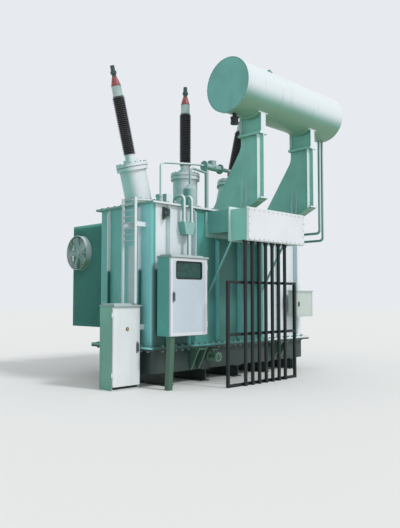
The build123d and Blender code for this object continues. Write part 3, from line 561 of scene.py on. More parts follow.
def weathered_and_lit_paint(
    name,
    base,
    lit_color,
    lit_amount,
    lit_facing_range=lit_range,
    roughness=0.42,
    soil=0.25,
    streak=0.14,
    tank_light_and_shade=False,
):
    """Enamel with random patches, streaks and soil low down, with painted light where it faces up and
    towards the lit side and painted shade on its underside.

    On the tank, a painted shadow keeps the colour behind the cabinet and the cable box, painted light makes
    the end wall paler by the front corner, and painted shade darkens the front wall in the shade zones.
    """
    material, tree, shader = new_material(name)
    place = tree.nodes.new("ShaderNodeTexCoord").outputs["Object"]
    split = tree.nodes.new("ShaderNodeSeparateXYZ")
    tree.links.new(place, split.inputs["Vector"])
    patches = noise(tree, place, patch_scale, patch_detail)
    streaks = noise(tree, place, streak_scale, streak_detail, streak_stretch)
    color = mix(tree, ramp(tree, patches, *patch_limits), linear(base, patch_shade), linear(base))
    # Painted shade: faces turned downwards are mixed towards olive
    below = ramp(tree, facing(tree, (0, 0, -1)), *underside_limits)
    underside = product(tree, below, underside_amount)
    color = mix(tree, underside, color, linear(underside_shade_olive))
    # Painted light: paler where the surface faces up and towards the lit side
    painted_light = product(tree, ramp(tree, facing(tree, lit_side), *lit_facing_range), lit_amount)
    if tank_light_and_shade:
        # Painted shadow: no painted light where the cabinet and the cable box shade the front wall
        painted_light = product(tree, painted_light, outside_painted_shadow(tree, place))
        # Painted light: end wall paler towards the front corner
        toward_corner = ramp(tree, split.outputs["Y"], corner_from, corner_full)
        corner = product(tree, toward_corner, ramp(tree, facing(tree, (-1, 0, 0)), *corner_limits))
        color = mix(tree, product(tree, corner, corner_amount), color, linear(corner_painted_light))
        # Painted shade: front-facing wall darker in these zones
        to_front = ramp(tree, facing(tree, (0, -1, 0)), *front_limits)
        for (left, right), top, amount in painted_shade_zones:
            painted_shade = product(tree, to_front, ramp(tree, split.outputs["X"], left - shade_blur, left))
            painted_shade = product(tree, painted_shade, ramp(tree, split.outputs["X"], right + shade_blur, right))
            painted_shade = product(tree, painted_shade, ramp(tree, split.outputs["Z"], top + shade_blur, top))
            color = mix(tree, product(tree, painted_shade, amount), color, linear(shade_green))
    color = mix(tree, painted_light, color, linear(lit_color))
    low = ramp(tree, split.outputs["Z"], soil_height, 0)
    low = product(tree, low, ramp(tree, streaks, *soil_limits))
    color = mix(tree, product(tree, low, soil), color, linear(soil_brown))
    run_off = product(tree, ramp(tree, streaks, *streak_limits), streak)
    color = mix(tree, run_off, color, linear(streak_grey))
    tree.links.new(color, shader.inputs["Base Color"])
    gloss = [roughness + change for change in paint_gloss_spread]
    tree.links.new(spread(tree, patches, *gloss), shader.inputs["Roughness"])
    grain = noise(tree, place, grain_scale, grain_detail)
    bump(tree, shader, grain, paint_grain_strength, grain_depth)
    return material


def plain_material(name, color, roughness, metallic=0.0, shade=0.8, grain=40, coat=0.0):
    """One colour with a little mottling and a fine grain."""
    material, tree, shader = new_material(name)
    place = tree.nodes.new("ShaderNodeTexCoord").outputs["Object"]
    mottle = noise(tree, place, mottle_scale, mottle_detail)
    color = mix(tree, ramp(tree, mottle, *mottle_limits), linear(color, shade), linear(color))
    tree.links.new(color, shader.inputs["Base Color"])
    gloss = [roughness + change for change in mottle_gloss_spread]
    tree.links.new(spread(tree, mottle, *gloss), shader.inputs["Roughness"])
    shader.inputs["Metallic"].default_value = metallic
    shader.inputs["Coat Weight"].default_value = coat
    bump(tree, shader, noise(tree, place, grain, grain_detail), plain_grain_strength, grain_depth)
    return material


def glass_material(name, color, roughness, alpha):
    """Tinted pane that lets part of what is behind it show, with painted reflections as darker patches."""
    material, tree, shader = new_material(name)
    place = tree.nodes.new("ShaderNodeTexCoord").outputs["Object"]
    # Painted reflections: darker and paler patches on the pane
    reflections = ramp(tree, noise(tree, place, reflection_scale, reflection_detail), *reflection_limits)
    tree.links.new(mix(tree, reflections, linear(color, reflection_shade), linear(color)), shader.inputs["Base Color"])
    shader.inputs["Roughness"].default_value = roughness
    shader.inputs["Alpha"].default_value = alpha
    return material


paint = weathered_and_lit_paint("weathered_and_lit_teal", teal, lit_pale, lit_amount=0.92)
tank_paint = weathered_and_lit_paint(
    "tank_teal",
    tank_teal,
    lit_pale,
    lit_amount=0.95,
    lit_facing_range=tank_lit_range,
    tank_light_and_shade=True,
)
# Painted light on the ribs reaches faces turned well away from the lit side, for their lit edges
rib_paint = weathered_and_lit_paint(
    "rib_teal",
    tank_teal,
    lit_pale,
    lit_amount=0.92,
    lit_facing_range=rib_lit_range,
    tank_light_and_shade=True,
)
cover_paint = weathered_and_lit_paint("cover_teal", cover_teal, lit_pale, lit_amount=0.92)
# Painted light: a paler teal on the brackets, the saddles and the cable box lifts the shade under the barrel
support_paint = weathered_and_lit_paint("support_lit_teal", support_lit_teal, lit_pale, lit_amount=0.92)
# Painted light: the turrets get a paler teal and painted light over a wider range of facings
turret_paint = weathered_and_lit_paint(
    "turret_lit_teal",
    turret_lit_teal,
    lit_pale,
    lit_amount=0.95,
    lit_facing_range=turret_lit_range,
)
# Painted shade: grey roofs with little painted light, for the shadow line under their edges
roof_paint = weathered_and_lit_paint("roof_shade_grey", roof_shade_grey, lit_pale, lit_amount=0.45)
drive_paint = weathered_and_lit_paint("drive_teal", drive_teal, lit_pale, lit_amount=0.92)
cabinet_paint = weathered_and_lit_paint("cabinet_green", cabinet_green, lit_pale, lit_amount=0.92)
# Painted shade: the cable box neck and the conduit pocket get little painted light
pocket_shaded_paint = weathered_and_lit_paint("pocket_teal", teal, lit_pale, lit_amount=0.25)
pipe_paint = weathered_and_lit_paint("pipe_teal", pipe_teal, lit_pale, lit_amount=0.45)
bolt_paint = weathered_and_lit_paint("bolt_teal", bolt_teal, lit_pale, lit_amount=0.35)
# Painted shade: the lower tank, the skids and the lifting lugs are painted dark teal for the shade they
# stand in
base_shaded_paint = weathered_and_lit_paint("base_dark_teal", shaded_dark_teal, dark_lit_pale, lit_amount=0.35, soil=0.2)
radiator_paint = weathered_and_lit_paint("radiator_teal", radiator_teal, radiator_lit_pale, lit_amount=0.5)
fan_paint = weathered_and_lit_paint("fan_teal", fan_teal, lit_pale, lit_amount=0.7)
tray_paint = weathered_and_lit_paint("tray_pale", tray_pale, lit_pale, lit_amount=0.9)
door_white = weathered_and_lit_paint("door_white", white_paint, white_paint, lit_amount=0.6, soil=0.1, streak=0.04)
door_grey = weathered_and_lit_paint("door_grey", grey_paint, grey_paint, lit_amount=0.5, soil=0.1, streak=0.04)
frame_white = weathered_and_lit_paint(
    "frame_white",
    bright_white,
    bright_white,
    lit_amount=0.6,
    soil=0.1,
    streak=0.04,
)
far_paint = weathered_and_lit_paint("far_white", far_white, far_white, lit_amount=0.6, soil=0.1, streak=0.06)
leg_paint = weathered_and_lit_paint("leg_green", leg_green, leg_green, lit_amount=0.2, soil=0.2)
rack_paint = plain_material("rack_paint", rack_black, roughness=0.5)
sheath = plain_material("cable_sheath", cable_black, roughness=0.5)
porcelain = plain_material("brown_porcelain", porcelain_dark, roughness=0.3, coat=0.2)
bushing_metal = plain_material("bushing_metal", bushing_pale, roughness=0.4, metallic=0.2)
red_enamel = plain_material("red_enamel", terminal_red, roughness=0.4)
stud_metal = plain_material("stud_metal", stud_green, roughness=0.45, metallic=0.3)
dark_metal = plain_material("dark_metal", dark_steel, roughness=0.4, metallic=0.5)
handle_metal = plain_material("handle_metal", handle_grey, roughness=0.4, metallic=0.4)
lock_metal = plain_material("lock_metal", lock_grey, roughness=0.4, metallic=0.3)
gear_plate = plain_material("gear_plate", gear_dark, roughness=0.5)
gear_parts = plain_material("gear_parts", gear_pale, roughness=0.5)
window_glass = glass_material("window_glass", glass_dark, roughness=0.08, alpha=0.6)
gasket = plain_material("gasket_rubber", gasket_black, roughness=0.6)
amber_lens = plain_material("indicator_lens", indicator_amber, roughness=0.25, coat=0.5)

node_materials = {
    "lower_tank": base_shaded_paint,
    "skid_beams": base_shaded_paint,
    "lifting_lugs": base_shaded_paint,
    "jacking_pads": leg_paint,
    "drain_valve": leg_paint,
    "drive_leg": leg_paint,
    "bell_tank": tank_paint,
    "wall_ribs": rib_paint,
    "lv_braces": tank_paint,
    "tank_cover": cover_paint,
    "turrets": turret_paint,
    "conservator_brackets": support_paint,
    "conservator_saddles": support_paint,
    "lv_cable_box": support_paint,
    "lv_neck": pocket_shaded_paint,
    "gas_relay": pipe_paint,
    "oil_pipes": pipe_paint,
    "drop_pipes": pipe_paint,
    "conduit_pocket": pocket_shaded_paint,
    "cable_tray": tray_paint,
    "cabinet_roofs": roof_paint,
    "drive_cabinet": drive_paint,
    "marshalling_cabinet": cabinet_paint,
    "fan_rotor": fan_paint,
    "drive_door": door_grey,
    "marshalling_door": door_white,
    "lv_box_cover": frame_white,
    "far_cabinet": far_paint,
    "drive_window": window_glass,
    "drive_handle": handle_metal,
    "marshalling_handle": handle_metal,
    "cabinet_hinges": cabinet_paint,
    "rack_posts": rack_paint,
    "rack_rails": rack_paint,
    "power_cables": sheath,
}
for name, node in nodes.items():
    node.data.materials.clear()
    node.data.materials.append(node_materials.get(name, paint))


# Mesh tools
def standing(point, normal=(0, 0, 1)):
    """Placement whose local Z points along a normal."""
    return Matrix.Translation(point) @ Vector(normal).to_track_quat("Z", "Y").to_matrix().to_4x4()


def on_ring(radius, count):
    """Points evenly round a circle in the local XY plane."""
    angles = [math.tau * number / count for number in range(count)]
    return [Vector((radius * math.cos(angle), radius * math.sin(angle), 0)) for angle in angles]


def add_rings(bm, rings, finish=0):
    """Skins a row of vertex rings; a ring of one vertex closes to a point."""
    steps = max(len(ring) for ring in rings)
    for lower, upper in zip(rings, rings[1:]):
        for number in range(steps):
            following = (number + 1) % steps
            corners = [
                lower[number % len(lower)],
                lower[following % len(lower)],
                upper[following % len(upper)],
                upper[number % len(upper)],
            ]
            face = bm.faces.new(list(dict.fromkeys(corners)))
            face.material_index = finish


def add_lathe(bm, outline, steps, place, finish=0):
    """Turns an outline of (radius, height) points about the local Z axis."""
    rings = []
    for radius, height in outline:
        points = on_ring(radius, steps) if radius else [Vector()]
        rings.append([bm.verts.new(place @ (point + Vector((0, 0, height)))) for point in points])
    add_rings(bm, rings, finish)


def add_torus(bm, radius, wire, steps, wire_steps, place, finish=0):
    """Round wire bent to a ring about the local Z axis."""
    rings = []
    for point in on_ring(radius, steps):
        outward = point.normalized()
        rings.append(
            [
                bm.verts.new(place @ (point + outward * around.x + Vector((0, 0, around.y))))
                for around in on_ring(wire, wire_steps)
            ]
        )
    add_rings(bm, rings + rings[:1], finish)


def add_wire(bm, start, end, wire, steps, finish=0):
    """Straight round bar between two points, closed at both ends."""
    place = standing(start, Vector(end) - Vector(start))
    length = (Vector(end) - Vector(start)).length
    add_lathe(bm, ((0, 0), (wire, 0), (wire, length), (0, length)), steps, place, finish)


def add_bolt(bm, place, head, finish=0):
    """Hexagon head on a washer, standing on the local XY plane."""
    washer = washer_share * head
    seat = washer_rise_share * head
    top = seat + head_rise_share * head
    shoulder = seat + head_chamfer_share * head_rise_share * head
    add_lathe(bm, ((washer, 0), (washer, seat), (0, seat)), washer_steps, place, finish)
    crown = head_chamfer_share * head
    add_lathe(bm, ((head, seat), (head, shoulder), (crown, top), (0, top)), hexagon_steps, place, finish)


def rounded_outline(width, height, corner, steps=corner_steps):
    """Points of a rounded rectangle about the origin, anticlockwise."""
    points = []
    for quarter, (side, level) in enumerate(((1, 1), (-1, 1), (-1, -1), (1, -1))):
        for number in range(steps + 1):
            angle = math.pi / 2 * (quarter + number / steps)
            across = side * (width / 2 - corner) + corner * math.cos(angle)
            up = level * (height / 2 - corner) + corner * math.sin(angle)
            points.append((across, up))
    return points


def add_band(bm, place, width, height, corner, band, rise, finish=0):
    """Raised rounded frame on the local XY plane."""
    outer = rounded_outline(width, height, corner)
    inner = rounded_outline(width - 2 * band, height - 2 * band, max(corner - band, edge_round))
    rings = []
    for outline, level in ((outer, 0), (outer, rise), (inner, rise), (inner, 0)):
        rings.append([bm.verts.new(place @ Vector((x, y, level))) for x, y in outline])
    add_rings(bm, rings + rings[:1], finish)


def add_plate(bm, place, width, height, corner, rise, finish=0):
    """Raised rounded plate on the local XY plane."""
    outline = rounded_outline(width, height, corner)
    lower = [bm.verts.new(place @ Vector((x, y, 0))) for x, y in outline]
    upper = [bm.verts.new(place @ Vector((x, y, rise))) for x, y in outline]
    add_rings(bm, [lower, upper], finish)
    bm.faces.new(upper).material_index = finish


def make_piece(name, bm, materials, body="root", replaced=(), smooth=sharp_angle):
    """Turns a built mesh into a piece that rides on a body."""
    bmesh.ops.remove_doubles(bm, verts=bm.verts, dist=weld_distance)
    bmesh.ops.recalc_face_normals(bm, faces=bm.faces)
    mesh = bpy.data.meshes.new(name)
    bm.to_mesh(mesh)
    bm.free()
    for material in materials:
        mesh.materials.append(material)
    mesh.shade_smooth()
    mesh.set_sharp_from_angle(angle=math.radians(smooth))
    piece = bpy.data.objects.new(name, mesh)
    bpy.context.collection.objects.link(piece)
    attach(piece, body)
    if replaced:
        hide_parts(*replaced)
    return piece


# Bolts round the joint flange and the cover
bolt_pitch = rib_pitch / bolts_per_rib_bay
long_bolt_count = round((2 * tank_half_length - bolt_pitch) / bolt_pitch)
long_spots = [(number - (long_bolt_count - 1) / 2) * bolt_pitch for number in range(long_bolt_count)]
end_spots = [(number - (end_bolt_count - 1) / 2) * end_bolt_pitch for number in range(end_bolt_count)]
flange_row = tank_half_width + joint_flange_reach
flange_end = tank_half_length + joint_flange_reach
flange_spots = [(x, side * flange_row) for x in long_spots for side in (-1, 1)]
flange_spots += [(side * flange_end, y) for y in end_spots for side in (-1, 1)]

bm = bmesh.new()
for x, y in flange_spots:
    add_bolt(bm, standing((x, y, joint_flange_top)), flange_bolt)
    over_pad = abs(y) == flange_row and min(abs(x - spot) for spot in pad_spots) < pad_clearance
    over_wheel = y == -flange_row and abs(x - drain_x) < drain_clearance
    if not over_pad and not over_wheel:
        add_bolt(bm, standing((x, y, joint_flange_foot), (0, 0, -1)), flange_bolt)
make_piece("joint_bolts", bm, [bolt_paint])

cover_count = round(2 * tank_half_length / cover_bolt_pitch)
cover_end_count = round(2 * tank_half_width / cover_bolt_pitch)
bm = bmesh.new()
for number in range(cover_count):
    x = (number - (cover_count - 1) / 2) * cover_bolt_pitch
    for side in (-1, 1):
        beside_support = min(abs(x - spot) for spot in support_spots) < support_clearance
        if side > 0 or not beside_support:
            spot = (x, side * (tank_half_width + cover_reach), cover_top)
            add_bolt(bm, standing(spot), cover_bolt)
for number in range(cover_end_count):
    y = (number - (cover_end_count - 1) / 2) * cover_bolt_pitch
    for side in (-1, 1):
        add_bolt(bm, standing((side * (tank_half_length + cover_reach), y, cover_top)), cover_bolt)
make_piece("cover_bolts", bm, [bolt_paint])

# Bushings: sheds with rounded lips, heads with a red cone, turret gaskets and bolt rings
bushing_places = []
bushing_feet = []
for x, lean in bushing_spots:
    turn = Matrix.Rotation(math.radians(lean), 4, "Y")
    bushing_places.append(Matrix.Translation((x, bushing_row, turret_top)) @ turn)
    foot_shift = (turret_top - cover_top) * math.tan(math.radians(lean))
    bushing_feet.append((x - foot_shift, bushing_row, cover_top + turret_foot_level))

shed_pitch = (insulator_end - insulator_start) / shed_count
shed_outline = [(0, insulator_start)]
for number in range(shed_count):
    for reach, rise in shed_shares:
        radius = shed_core + reach * (shed_radius - shed_core)
        shed_outline.append((radius, insulator_start + (number + rise) * shed_pitch))
shed_outline += [(shed_core, insulator_end), (0, insulator_end)]
bm = bmesh.new()
for place in bushing_places:
    add_lathe(bm, shed_outline, bushing_steps, place)
make_piece(
    "porcelain_sheds",
    bm,
    [porcelain],
    replaced=["insulators"],
    smooth=shed_sharp_angle,
)

head_outline = (
    (0, insulator_end),
    (head_rim - edge_round, insulator_end),
    (head_rim, insulator_end + edge_round),
    (head_rim, insulator_end + head_rim_rise - edge_round),
    (head_rim - edge_round, insulator_end + head_rim_rise),
    (head_radius, insulator_end + head_rim_rise),
    (head_radius, head_end - edge_round),
    (head_radius - edge_round, head_end),
    (0, head_end),
)
cone_outline = (
    (cone_foot, head_end),
    (cone_foot, head_end + edge_round),
    (cone_top, cone_end - edge_round),
    (cone_top - edge_round, cone_end),
    (0, cone_end),
)
stud_outline = (
    (stud_radius, cone_end - edge_round),
    (stud_radius, stud_clamp_from),
    (stud_clamp - edge_round, stud_clamp_from),
    (stud_clamp, stud_clamp_from + edge_round),
    (stud_clamp, stud_clamp_to - edge_round),
    (stud_clamp - edge_round, stud_clamp_to),
    (stud_radius, stud_clamp_to),
    (stud_radius, stud_end - edge_round),
    (stud_radius - edge_round, stud_end),
    (0, stud_end),
)
bm = bmesh.new()
for place in bushing_places:
    add_lathe(bm, head_outline, head_steps, place, 0)
    add_lathe(bm, cone_outline, head_steps, place, 1)
    add_lathe(bm, stud_outline, stud_steps, place, 2)
head_materials = [bushing_metal, red_enamel, stud_metal]
make_piece("bushing_terminals", bm, head_materials, replaced=["bushing_heads"])

gasket_outline = (
    (gasket_radius - gasket_width, -gasket_drop - gasket_width / 2),
    (gasket_radius, -gasket_drop - gasket_width / 2),
    (gasket_radius, -gasket_drop + gasket_width / 2),
    (gasket_radius - gasket_width, -gasket_drop + gasket_width / 2),
)
bm = bmesh.new()
for place in bushing_places:
    add_lathe(bm, gasket_outline, bushing_steps, place)
make_piece("turret_gaskets", bm, [gasket])

bm = bmesh.new()
for place in bushing_places:
    for point in on_ring(turret_bolt_ring, turret_bolt_count):
        add_bolt(bm, place @ Matrix.Translation(point), ring_bolt)
for foot in bushing_feet:
    for point in on_ring(foot_bolt_ring, foot_bolt_count):
        add_bolt(bm, standing(Vector(foot) + point), ring_bolt)
make_piece("turret_bolts", bm, [bolt_paint])

# Conservator: bolts round the cap and in the saddle seats, weld seams round the barrel, sump valve
barrel_y, barrel_z = conservator_axis
bm = bmesh.new()
cap_place = standing((conservator_cap_x, barrel_y, barrel_z), (-1, 0, 0))
for point in on_ring(cap_bolt_ring, cap_bolt_count):
    add_bolt(bm, cap_place @ Matrix.Translation(point), cap_bolt)
for spot in support_spots:
    for across, back in saddle_bolt_spots:
        add_bolt(bm, standing((spot + across, barrel_y + back, saddle_seat_top)), ring_bolt)
make_piece("conservator_bolts", bm, [bolt_paint])

bm = bmesh.new()
for seam in conservator_seams:
    seam_place = standing((seam, barrel_y, barrel_z), (1, 0, 0))
    seam_outline = (
        (conservator_radius - seam_rise, -seam_width),
        (conservator_radius + seam_rise / 2, -seam_width / 2),
        (conservator_radius + seam_rise, 0),
        (conservator_radius + seam_rise / 2, seam_width / 2),
        (conservator_radius - seam_rise, seam_width),
    )
    add_lathe(bm, seam_outline, seam_steps, seam_place)
make_piece("barrel_seams", bm, [paint], smooth=seam_sharp_angle)

bm = bmesh.new()
add_lathe(bm, sump_outline, sump_steps, standing(sump_spot))
make_piece("sump_valve", bm, [dark_metal])

# Bolts on the tap changer head, the dome, the relay and the drain valve
bm = bmesh.new()
for spot, rise, ring, count in (
    (tap_head_spot, tap_flange_rise, tap_bolt_ring, tap_bolt_count),
    (dome_spot, dome_flange_rise, dome_bolt_ring, dome_bolt_count),
):
    for point in on_ring(ring, count):
        add_bolt(bm, standing(Vector((*spot, cover_top + rise)) + point), small_bolt)
for end, facing_x in zip(relay_ends, (1, -1)):
    relay_place = standing((end + facing_x * relay_flange_thickness, *relay_axis), (facing_x, 0, 0))
    for point in on_ring(relay_bolt_ring, relay_bolt_count):
        add_bolt(bm, relay_place @ Matrix.Translation(point), small_bolt)
drain_place = standing((drain_x, drain_face_y, drain_level), (0, -1, 0))
for point in on_ring(drain_bolt_ring, drain_bolt_count):
    add_bolt(bm, drain_place @ Matrix.Translation(point), small_bolt)
make_piece("fitting_bolts", bm, [bolt_paint])

# Handwheel on the drain valve
bm = bmesh.new()
wheel_level = drain_stem_top - wheel_wire
wheel_place = standing((drain_x, drain_stem_y, wheel_level))
add_torus(bm, wheel_radius, wheel_wire, wheel_steps, wheel_wire_steps, wheel_place)
for point in on_ring(wheel_radius, wheel_spokes):
    spoke_wire = wheel_wire * wheel_spoke_share
    add_wire(bm, wheel_place.translation, wheel_place @ point, spoke_wire, spoke_steps)
hub_outline = (
    (wheel_hub, -wheel_wire),
    (wheel_hub, wheel_wire),
    (wheel_hub - edge_round, wheel_wire + edge_round),
    (0, wheel_wire + edge_round),
)
add_lathe(bm, hub_outline, hub_steps, wheel_place)
make_piece("drain_handwheel", bm, [leg_paint])

# Radiators: fluted panels on two headers each, with a bolted flange at the wall
panel_pitch = (radiator_last_row - radiator_first_row) / (radiator_panel_count - 1)
panel_levels = (
    (radiator_bottom, 0),
    (radiator_bottom + panel_seam_rise, 0),
    (radiator_bottom + panel_round_rise, 1),
    (radiator_top - panel_round_rise, 1),
    (radiator_top - panel_seam_rise, 0),
    (radiator_top, 0),
)
column_count = panel_flutes * panel_steps + 1


def panel_ring(x, y, level, swell):
    """Outline of a panel at one level, front side left to right and back side right to left."""
    sides = []
    for facing_y in (-1, 1):
        row = []
        for number in range(column_count):
            flute = math.sin(math.pi * number / panel_steps) ** 2
            half = (panel_seam + (panel_thickness - panel_seam) * swell * flute) / 2
            across = x + radiator_width * (number / (column_count - 1) - 0.5)
            row.append((across, y + facing_y * half, level))
        sides.append(row)
    return sides[0] + sides[1][::-1]


bm = bmesh.new()
header_length = radiator_end_y - back_wall_y
header_outline = (
    (header_flange_radius, 0),
    (header_flange_radius, header_flange_thickness),
    (header_radius, header_flange_thickness),
    (header_radius, header_length - edge_round),
    (header_radius - edge_round, header_length),
    (0, header_length),
)
for x in radiator_spots:
    for number in range(radiator_panel_count):
        y = radiator_first_row + radiator_panel / 2 + number * panel_pitch
        rings = []
        for level, swell in panel_levels:
            rings.append([bm.verts.new(point) for point in panel_ring(x, y, level, swell)])
        add_rings(bm, rings)
        bm.faces.new(rings[0])
        bm.faces.new(rings[-1])
    for level in header_levels:
        header_place = standing((x, back_wall_y, level), (0, 1, 0))
        add_lathe(bm, header_outline, header_steps, header_place)
        seat = header_place @ Matrix.Translation((0, 0, header_flange_thickness))
        for point in on_ring(header_bolt_ring, header_bolt_count):
            add_bolt(bm, seat @ Matrix.Translation(point), small_bolt)
make_piece("radiator_banks", bm, [radiator_paint], replaced=["radiators"])

# Fan: ring with rolled lips, motor on four struts, wire guard in front
fan_place = standing(fan_center, (-1, 0, 0))
bm = bmesh.new()
ring_outline = (
    (fan_inner, fan_lip),
    (fan_inner + fan_lip, 0),
    (fan_radius - fan_lip, 0),
    (fan_radius, fan_lip),
    (fan_radius - fan_lip, 2 * fan_lip),
    (fan_radius - fan_lip, fan_depth - 2 * fan_lip),
    (fan_radius, fan_depth - fan_lip),
    (fan_radius - fan_lip, fan_depth),
    (fan_inner + fan_lip, fan_depth),
    (fan_inner, fan_depth - fan_lip),
    (fan_inner, fan_lip),
)
add_lathe(bm, ring_outline, fan_steps, fan_place)
motor_outline = (
    (0, 0),
    (fan_motor_radius - fan_lip, 0),
    (fan_motor_radius, fan_lip),
    (fan_motor_radius, fan_motor_end - fan_lip),
    (fan_motor_radius - fan_lip, fan_motor_end),
    (fan_shaft_radius, fan_motor_end),
    (fan_shaft_radius, fan_shaft_end),
    (0, fan_shaft_end),
)
add_lathe(bm, motor_outline, motor_steps, fan_place)
for number in range(fan_strut_count):
    turn = Matrix.Rotation(math.tau * number / fan_strut_count, 4, "Z")
    start = fan_place @ turn @ Vector((fan_motor_radius - fan_lip, 0, fan_strut_width / 2))
    end = fan_place @ turn @ Vector((fan_inner + fan_lip, 0, fan_strut_width / 2))
    add_wire(bm, start, end, fan_strut_width / 2, strut_steps)
guard_level = fan_depth - guard_wire
guard_pitch = (fan_inner - guard_first_ring) / guard_rings
for number in range(guard_rings):
    guard_place = fan_place @ Matrix.Translation((0, 0, guard_level))
    guard_ring = guard_first_ring + number * guard_pitch
    add_torus(bm, guard_ring, guard_wire, guard_steps, guard_wire_steps, guard_place)
for number in range(guard_spokes):
    turn = Matrix.Rotation(math.tau * number / guard_spokes, 4, "Z")
    start = fan_place @ turn @ Vector((guard_first_ring, 0, guard_level))
    end = fan_place @ turn @ Vector((fan_inner + fan_lip, 0, guard_level))
    add_wire(bm, start, end, guard_wire, guard_wire_steps)
make_piece("fan_cage", bm, [fan_paint], replaced=["fan_housing"])


# Doors: border, window gasket, locks and indicator ride on their door, and the gear stays in the cabinet
def on_front(spot, front):
    """Placement on a face that looks towards the front, at a spot of X and level."""
    return standing((spot[0], front, spot[1]), (0, -1, 0))


def middle(spans):
    return tuple((low + high) / 2 for low, high in spans)


def extent(spans):
    return tuple(high - low for low, high in spans)


bm = bmesh.new()
door_place = on_front(middle(drive_door_box), drive_door_front)
add_band(bm, door_place, *extent(drive_door_box), door_corner, drive_frame_band, drive_frame_rise)
make_piece("drive_door_border", bm, [frame_white], "drive_door")

bm = bmesh.new()
window_place = on_front(window_center, window_glass_front)
add_band(bm, window_place, *window_size, window_corner, window_band, window_rise)
make_piece("window_gasket", bm, [gasket], "drive_door")

bm = bmesh.new()
gear_x, gear_z = window_center
add_plate(
    bm,
    on_front(window_center, gear_plate_front + gear_plate_thickness),
    *window_size,
    window_corner,
    gear_plate_thickness,
    0,
)
for (left, right), (low, high), depth in gear_blocks:
    block_spot = (gear_x + (left + right) / 2, gear_z + (low + high) / 2)
    block_place = on_front(block_spot, gear_plate_front)
    add_plate(bm, block_place, right - left, high - low, edge_round, depth, 1)
dial_outline = (
    (gear_dial_radius, 0),
    (gear_dial_radius, gear_dial_depth - edge_round),
    (gear_dial_radius - edge_round, gear_dial_depth),
    (0, gear_dial_depth),
)
dial_place = on_front((gear_x + gear_dial_spot[0], gear_z + gear_dial_spot[1]), gear_plate_front)
add_lathe(bm, dial_outline, dial_steps, dial_place, 1)
make_piece("drive_gear", bm, [gear_plate, gear_parts])

lock_outline = (
    (lock_radius, 0),
    (lock_radius, lock_rise - edge_round / 2),
    (lock_radius - edge_round / 2, lock_rise),
    (0, lock_rise),
)
for body, spot, front in (
    ("drive_door", drive_lock_spot, drive_door_front),
    ("marshalling_door", marshal_lock_spot, marshal_door_front),
):
    bm = bmesh.new()
    add_plate(bm, on_front(spot, front), *lock_plate, lock_plate_corner, lock_plate_rise)
    barrel_place = on_front((spot[0], spot[1] - lock_drop), front)
    add_lathe(bm, lock_outline, lock_steps, barrel_place)
    make_piece(body + "_lock", bm, [lock_metal], body)

lens_outline = [(indicator_radius, 0)]
lens_outline += [(indicator_radius * reach, indicator_rise * rise) for reach, rise in lens_shares]
lens_outline += [(0, indicator_rise)]
rim_outline = (
    (indicator_rim, 0),
    (indicator_rim, indicator_rise / 2),
    (indicator_radius, indicator_rise / 2),
    (indicator_radius, 0),
)
bm = bmesh.new()
indicator_place = on_front(indicator_spot, marshal_door_front)
add_lathe(bm, rim_outline, indicator_steps, indicator_place, 0)
add_lathe(bm, lens_outline, indicator_steps, indicator_place, 1)
make_piece("door_indicator", bm, [dark_metal, amber_lens], "marshalling_door")

# Low voltage box: bolts on the cover, flange behind it, glands below, cleats that hold cables to the rack
bm = bmesh.new()
(box_left, box_right), (box_low, box_high) = box_cover_x, box_cover_z
across_count = round((box_right - box_left - 2 * box_bolt_inset) / box_bolt_pitch)
up_count = round((box_high - box_low - 2 * box_bolt_inset) / box_bolt_pitch)
for number in range(across_count + 1):
    x = box_left + box_bolt_inset + number * (box_right - box_left - 2 * box_bolt_inset) / across_count
    for z in (box_low + box_bolt_inset, box_high - box_bolt_inset):
        add_bolt(bm, on_front((x, z), box_cover_front), small_bolt)
for number in range(1, up_count):
    z = box_low + box_bolt_inset + number * (box_high - box_low - 2 * box_bolt_inset) / up_count
    for x in (box_left + box_bolt_inset, box_right - box_bolt_inset):
        add_bolt(bm, on_front((x, z), box_cover_front), small_bolt)
make_piece("box_cover_bolts", bm, [frame_white])

bm = bmesh.new()
flange_spans = (
    (box_left - box_flange_lip, box_right + box_flange_lip),
    (box_low - box_flange_foot, box_high + box_flange_lip),
)
add_band(
    bm,
    on_front(middle(flange_spans), box_flange_back),
    *extent(flange_spans),
    door_corner,
    box_flange_lip,
    box_flange_thickness,
)
make_piece("box_flange", bm, [support_paint])

cable_spots = [cable_first + number * cable_pitch for number in range(cable_count)]
bm = bmesh.new()
for x in cable_spots:
    add_lathe(bm, gland_outline, gland_steps, standing((x, cable_row, gland_top)))
make_piece("cable_glands", bm, [dark_metal])

cleat_inner = cable_radius + cleat_gap
cleat_outer = cleat_inner + cleat_strap
cleat_angles = [math.pi * number / cleat_steps for number in range(cleat_steps + 1)]
ear_end = cleat_outer + cleat_ear
cleat_shape = [(ear_end, 0), (ear_end, cleat_strap), (cleat_outer, cleat_strap)]
cleat_shape += [(cleat_outer * math.cos(a), cable_radius + cleat_outer * math.sin(a)) for a in cleat_angles]
cleat_shape += [(-cleat_outer, cleat_strap), (-ear_end, cleat_strap), (-ear_end, 0), (-cleat_inner, 0)]
cleat_shape += [(-cleat_inner * math.cos(a), cable_radius + cleat_inner * math.sin(a)) for a in cleat_angles]
cleat_shape += [(cleat_inner, 0)]
bm = bmesh.new()
for x in cable_spots:
    for level in cleat_levels:
        rings = []
        for rise in (-cleat_height / 2, cleat_height / 2):
            rings.append([bm.verts.new((x + a, rack_front - out, level + rise)) for a, out in cleat_shape])
        add_rings(bm, rings)
        for ring in rings:
            bm.faces.new(ring)
        for side in (-1, 1):
            ear = x + side * (cleat_outer + cleat_ear / 2)
            add_bolt(bm, on_front((ear, level), rack_front - cleat_strap), cleat_bolt)
make_piece("cable_cleats", bm, [rack_paint])

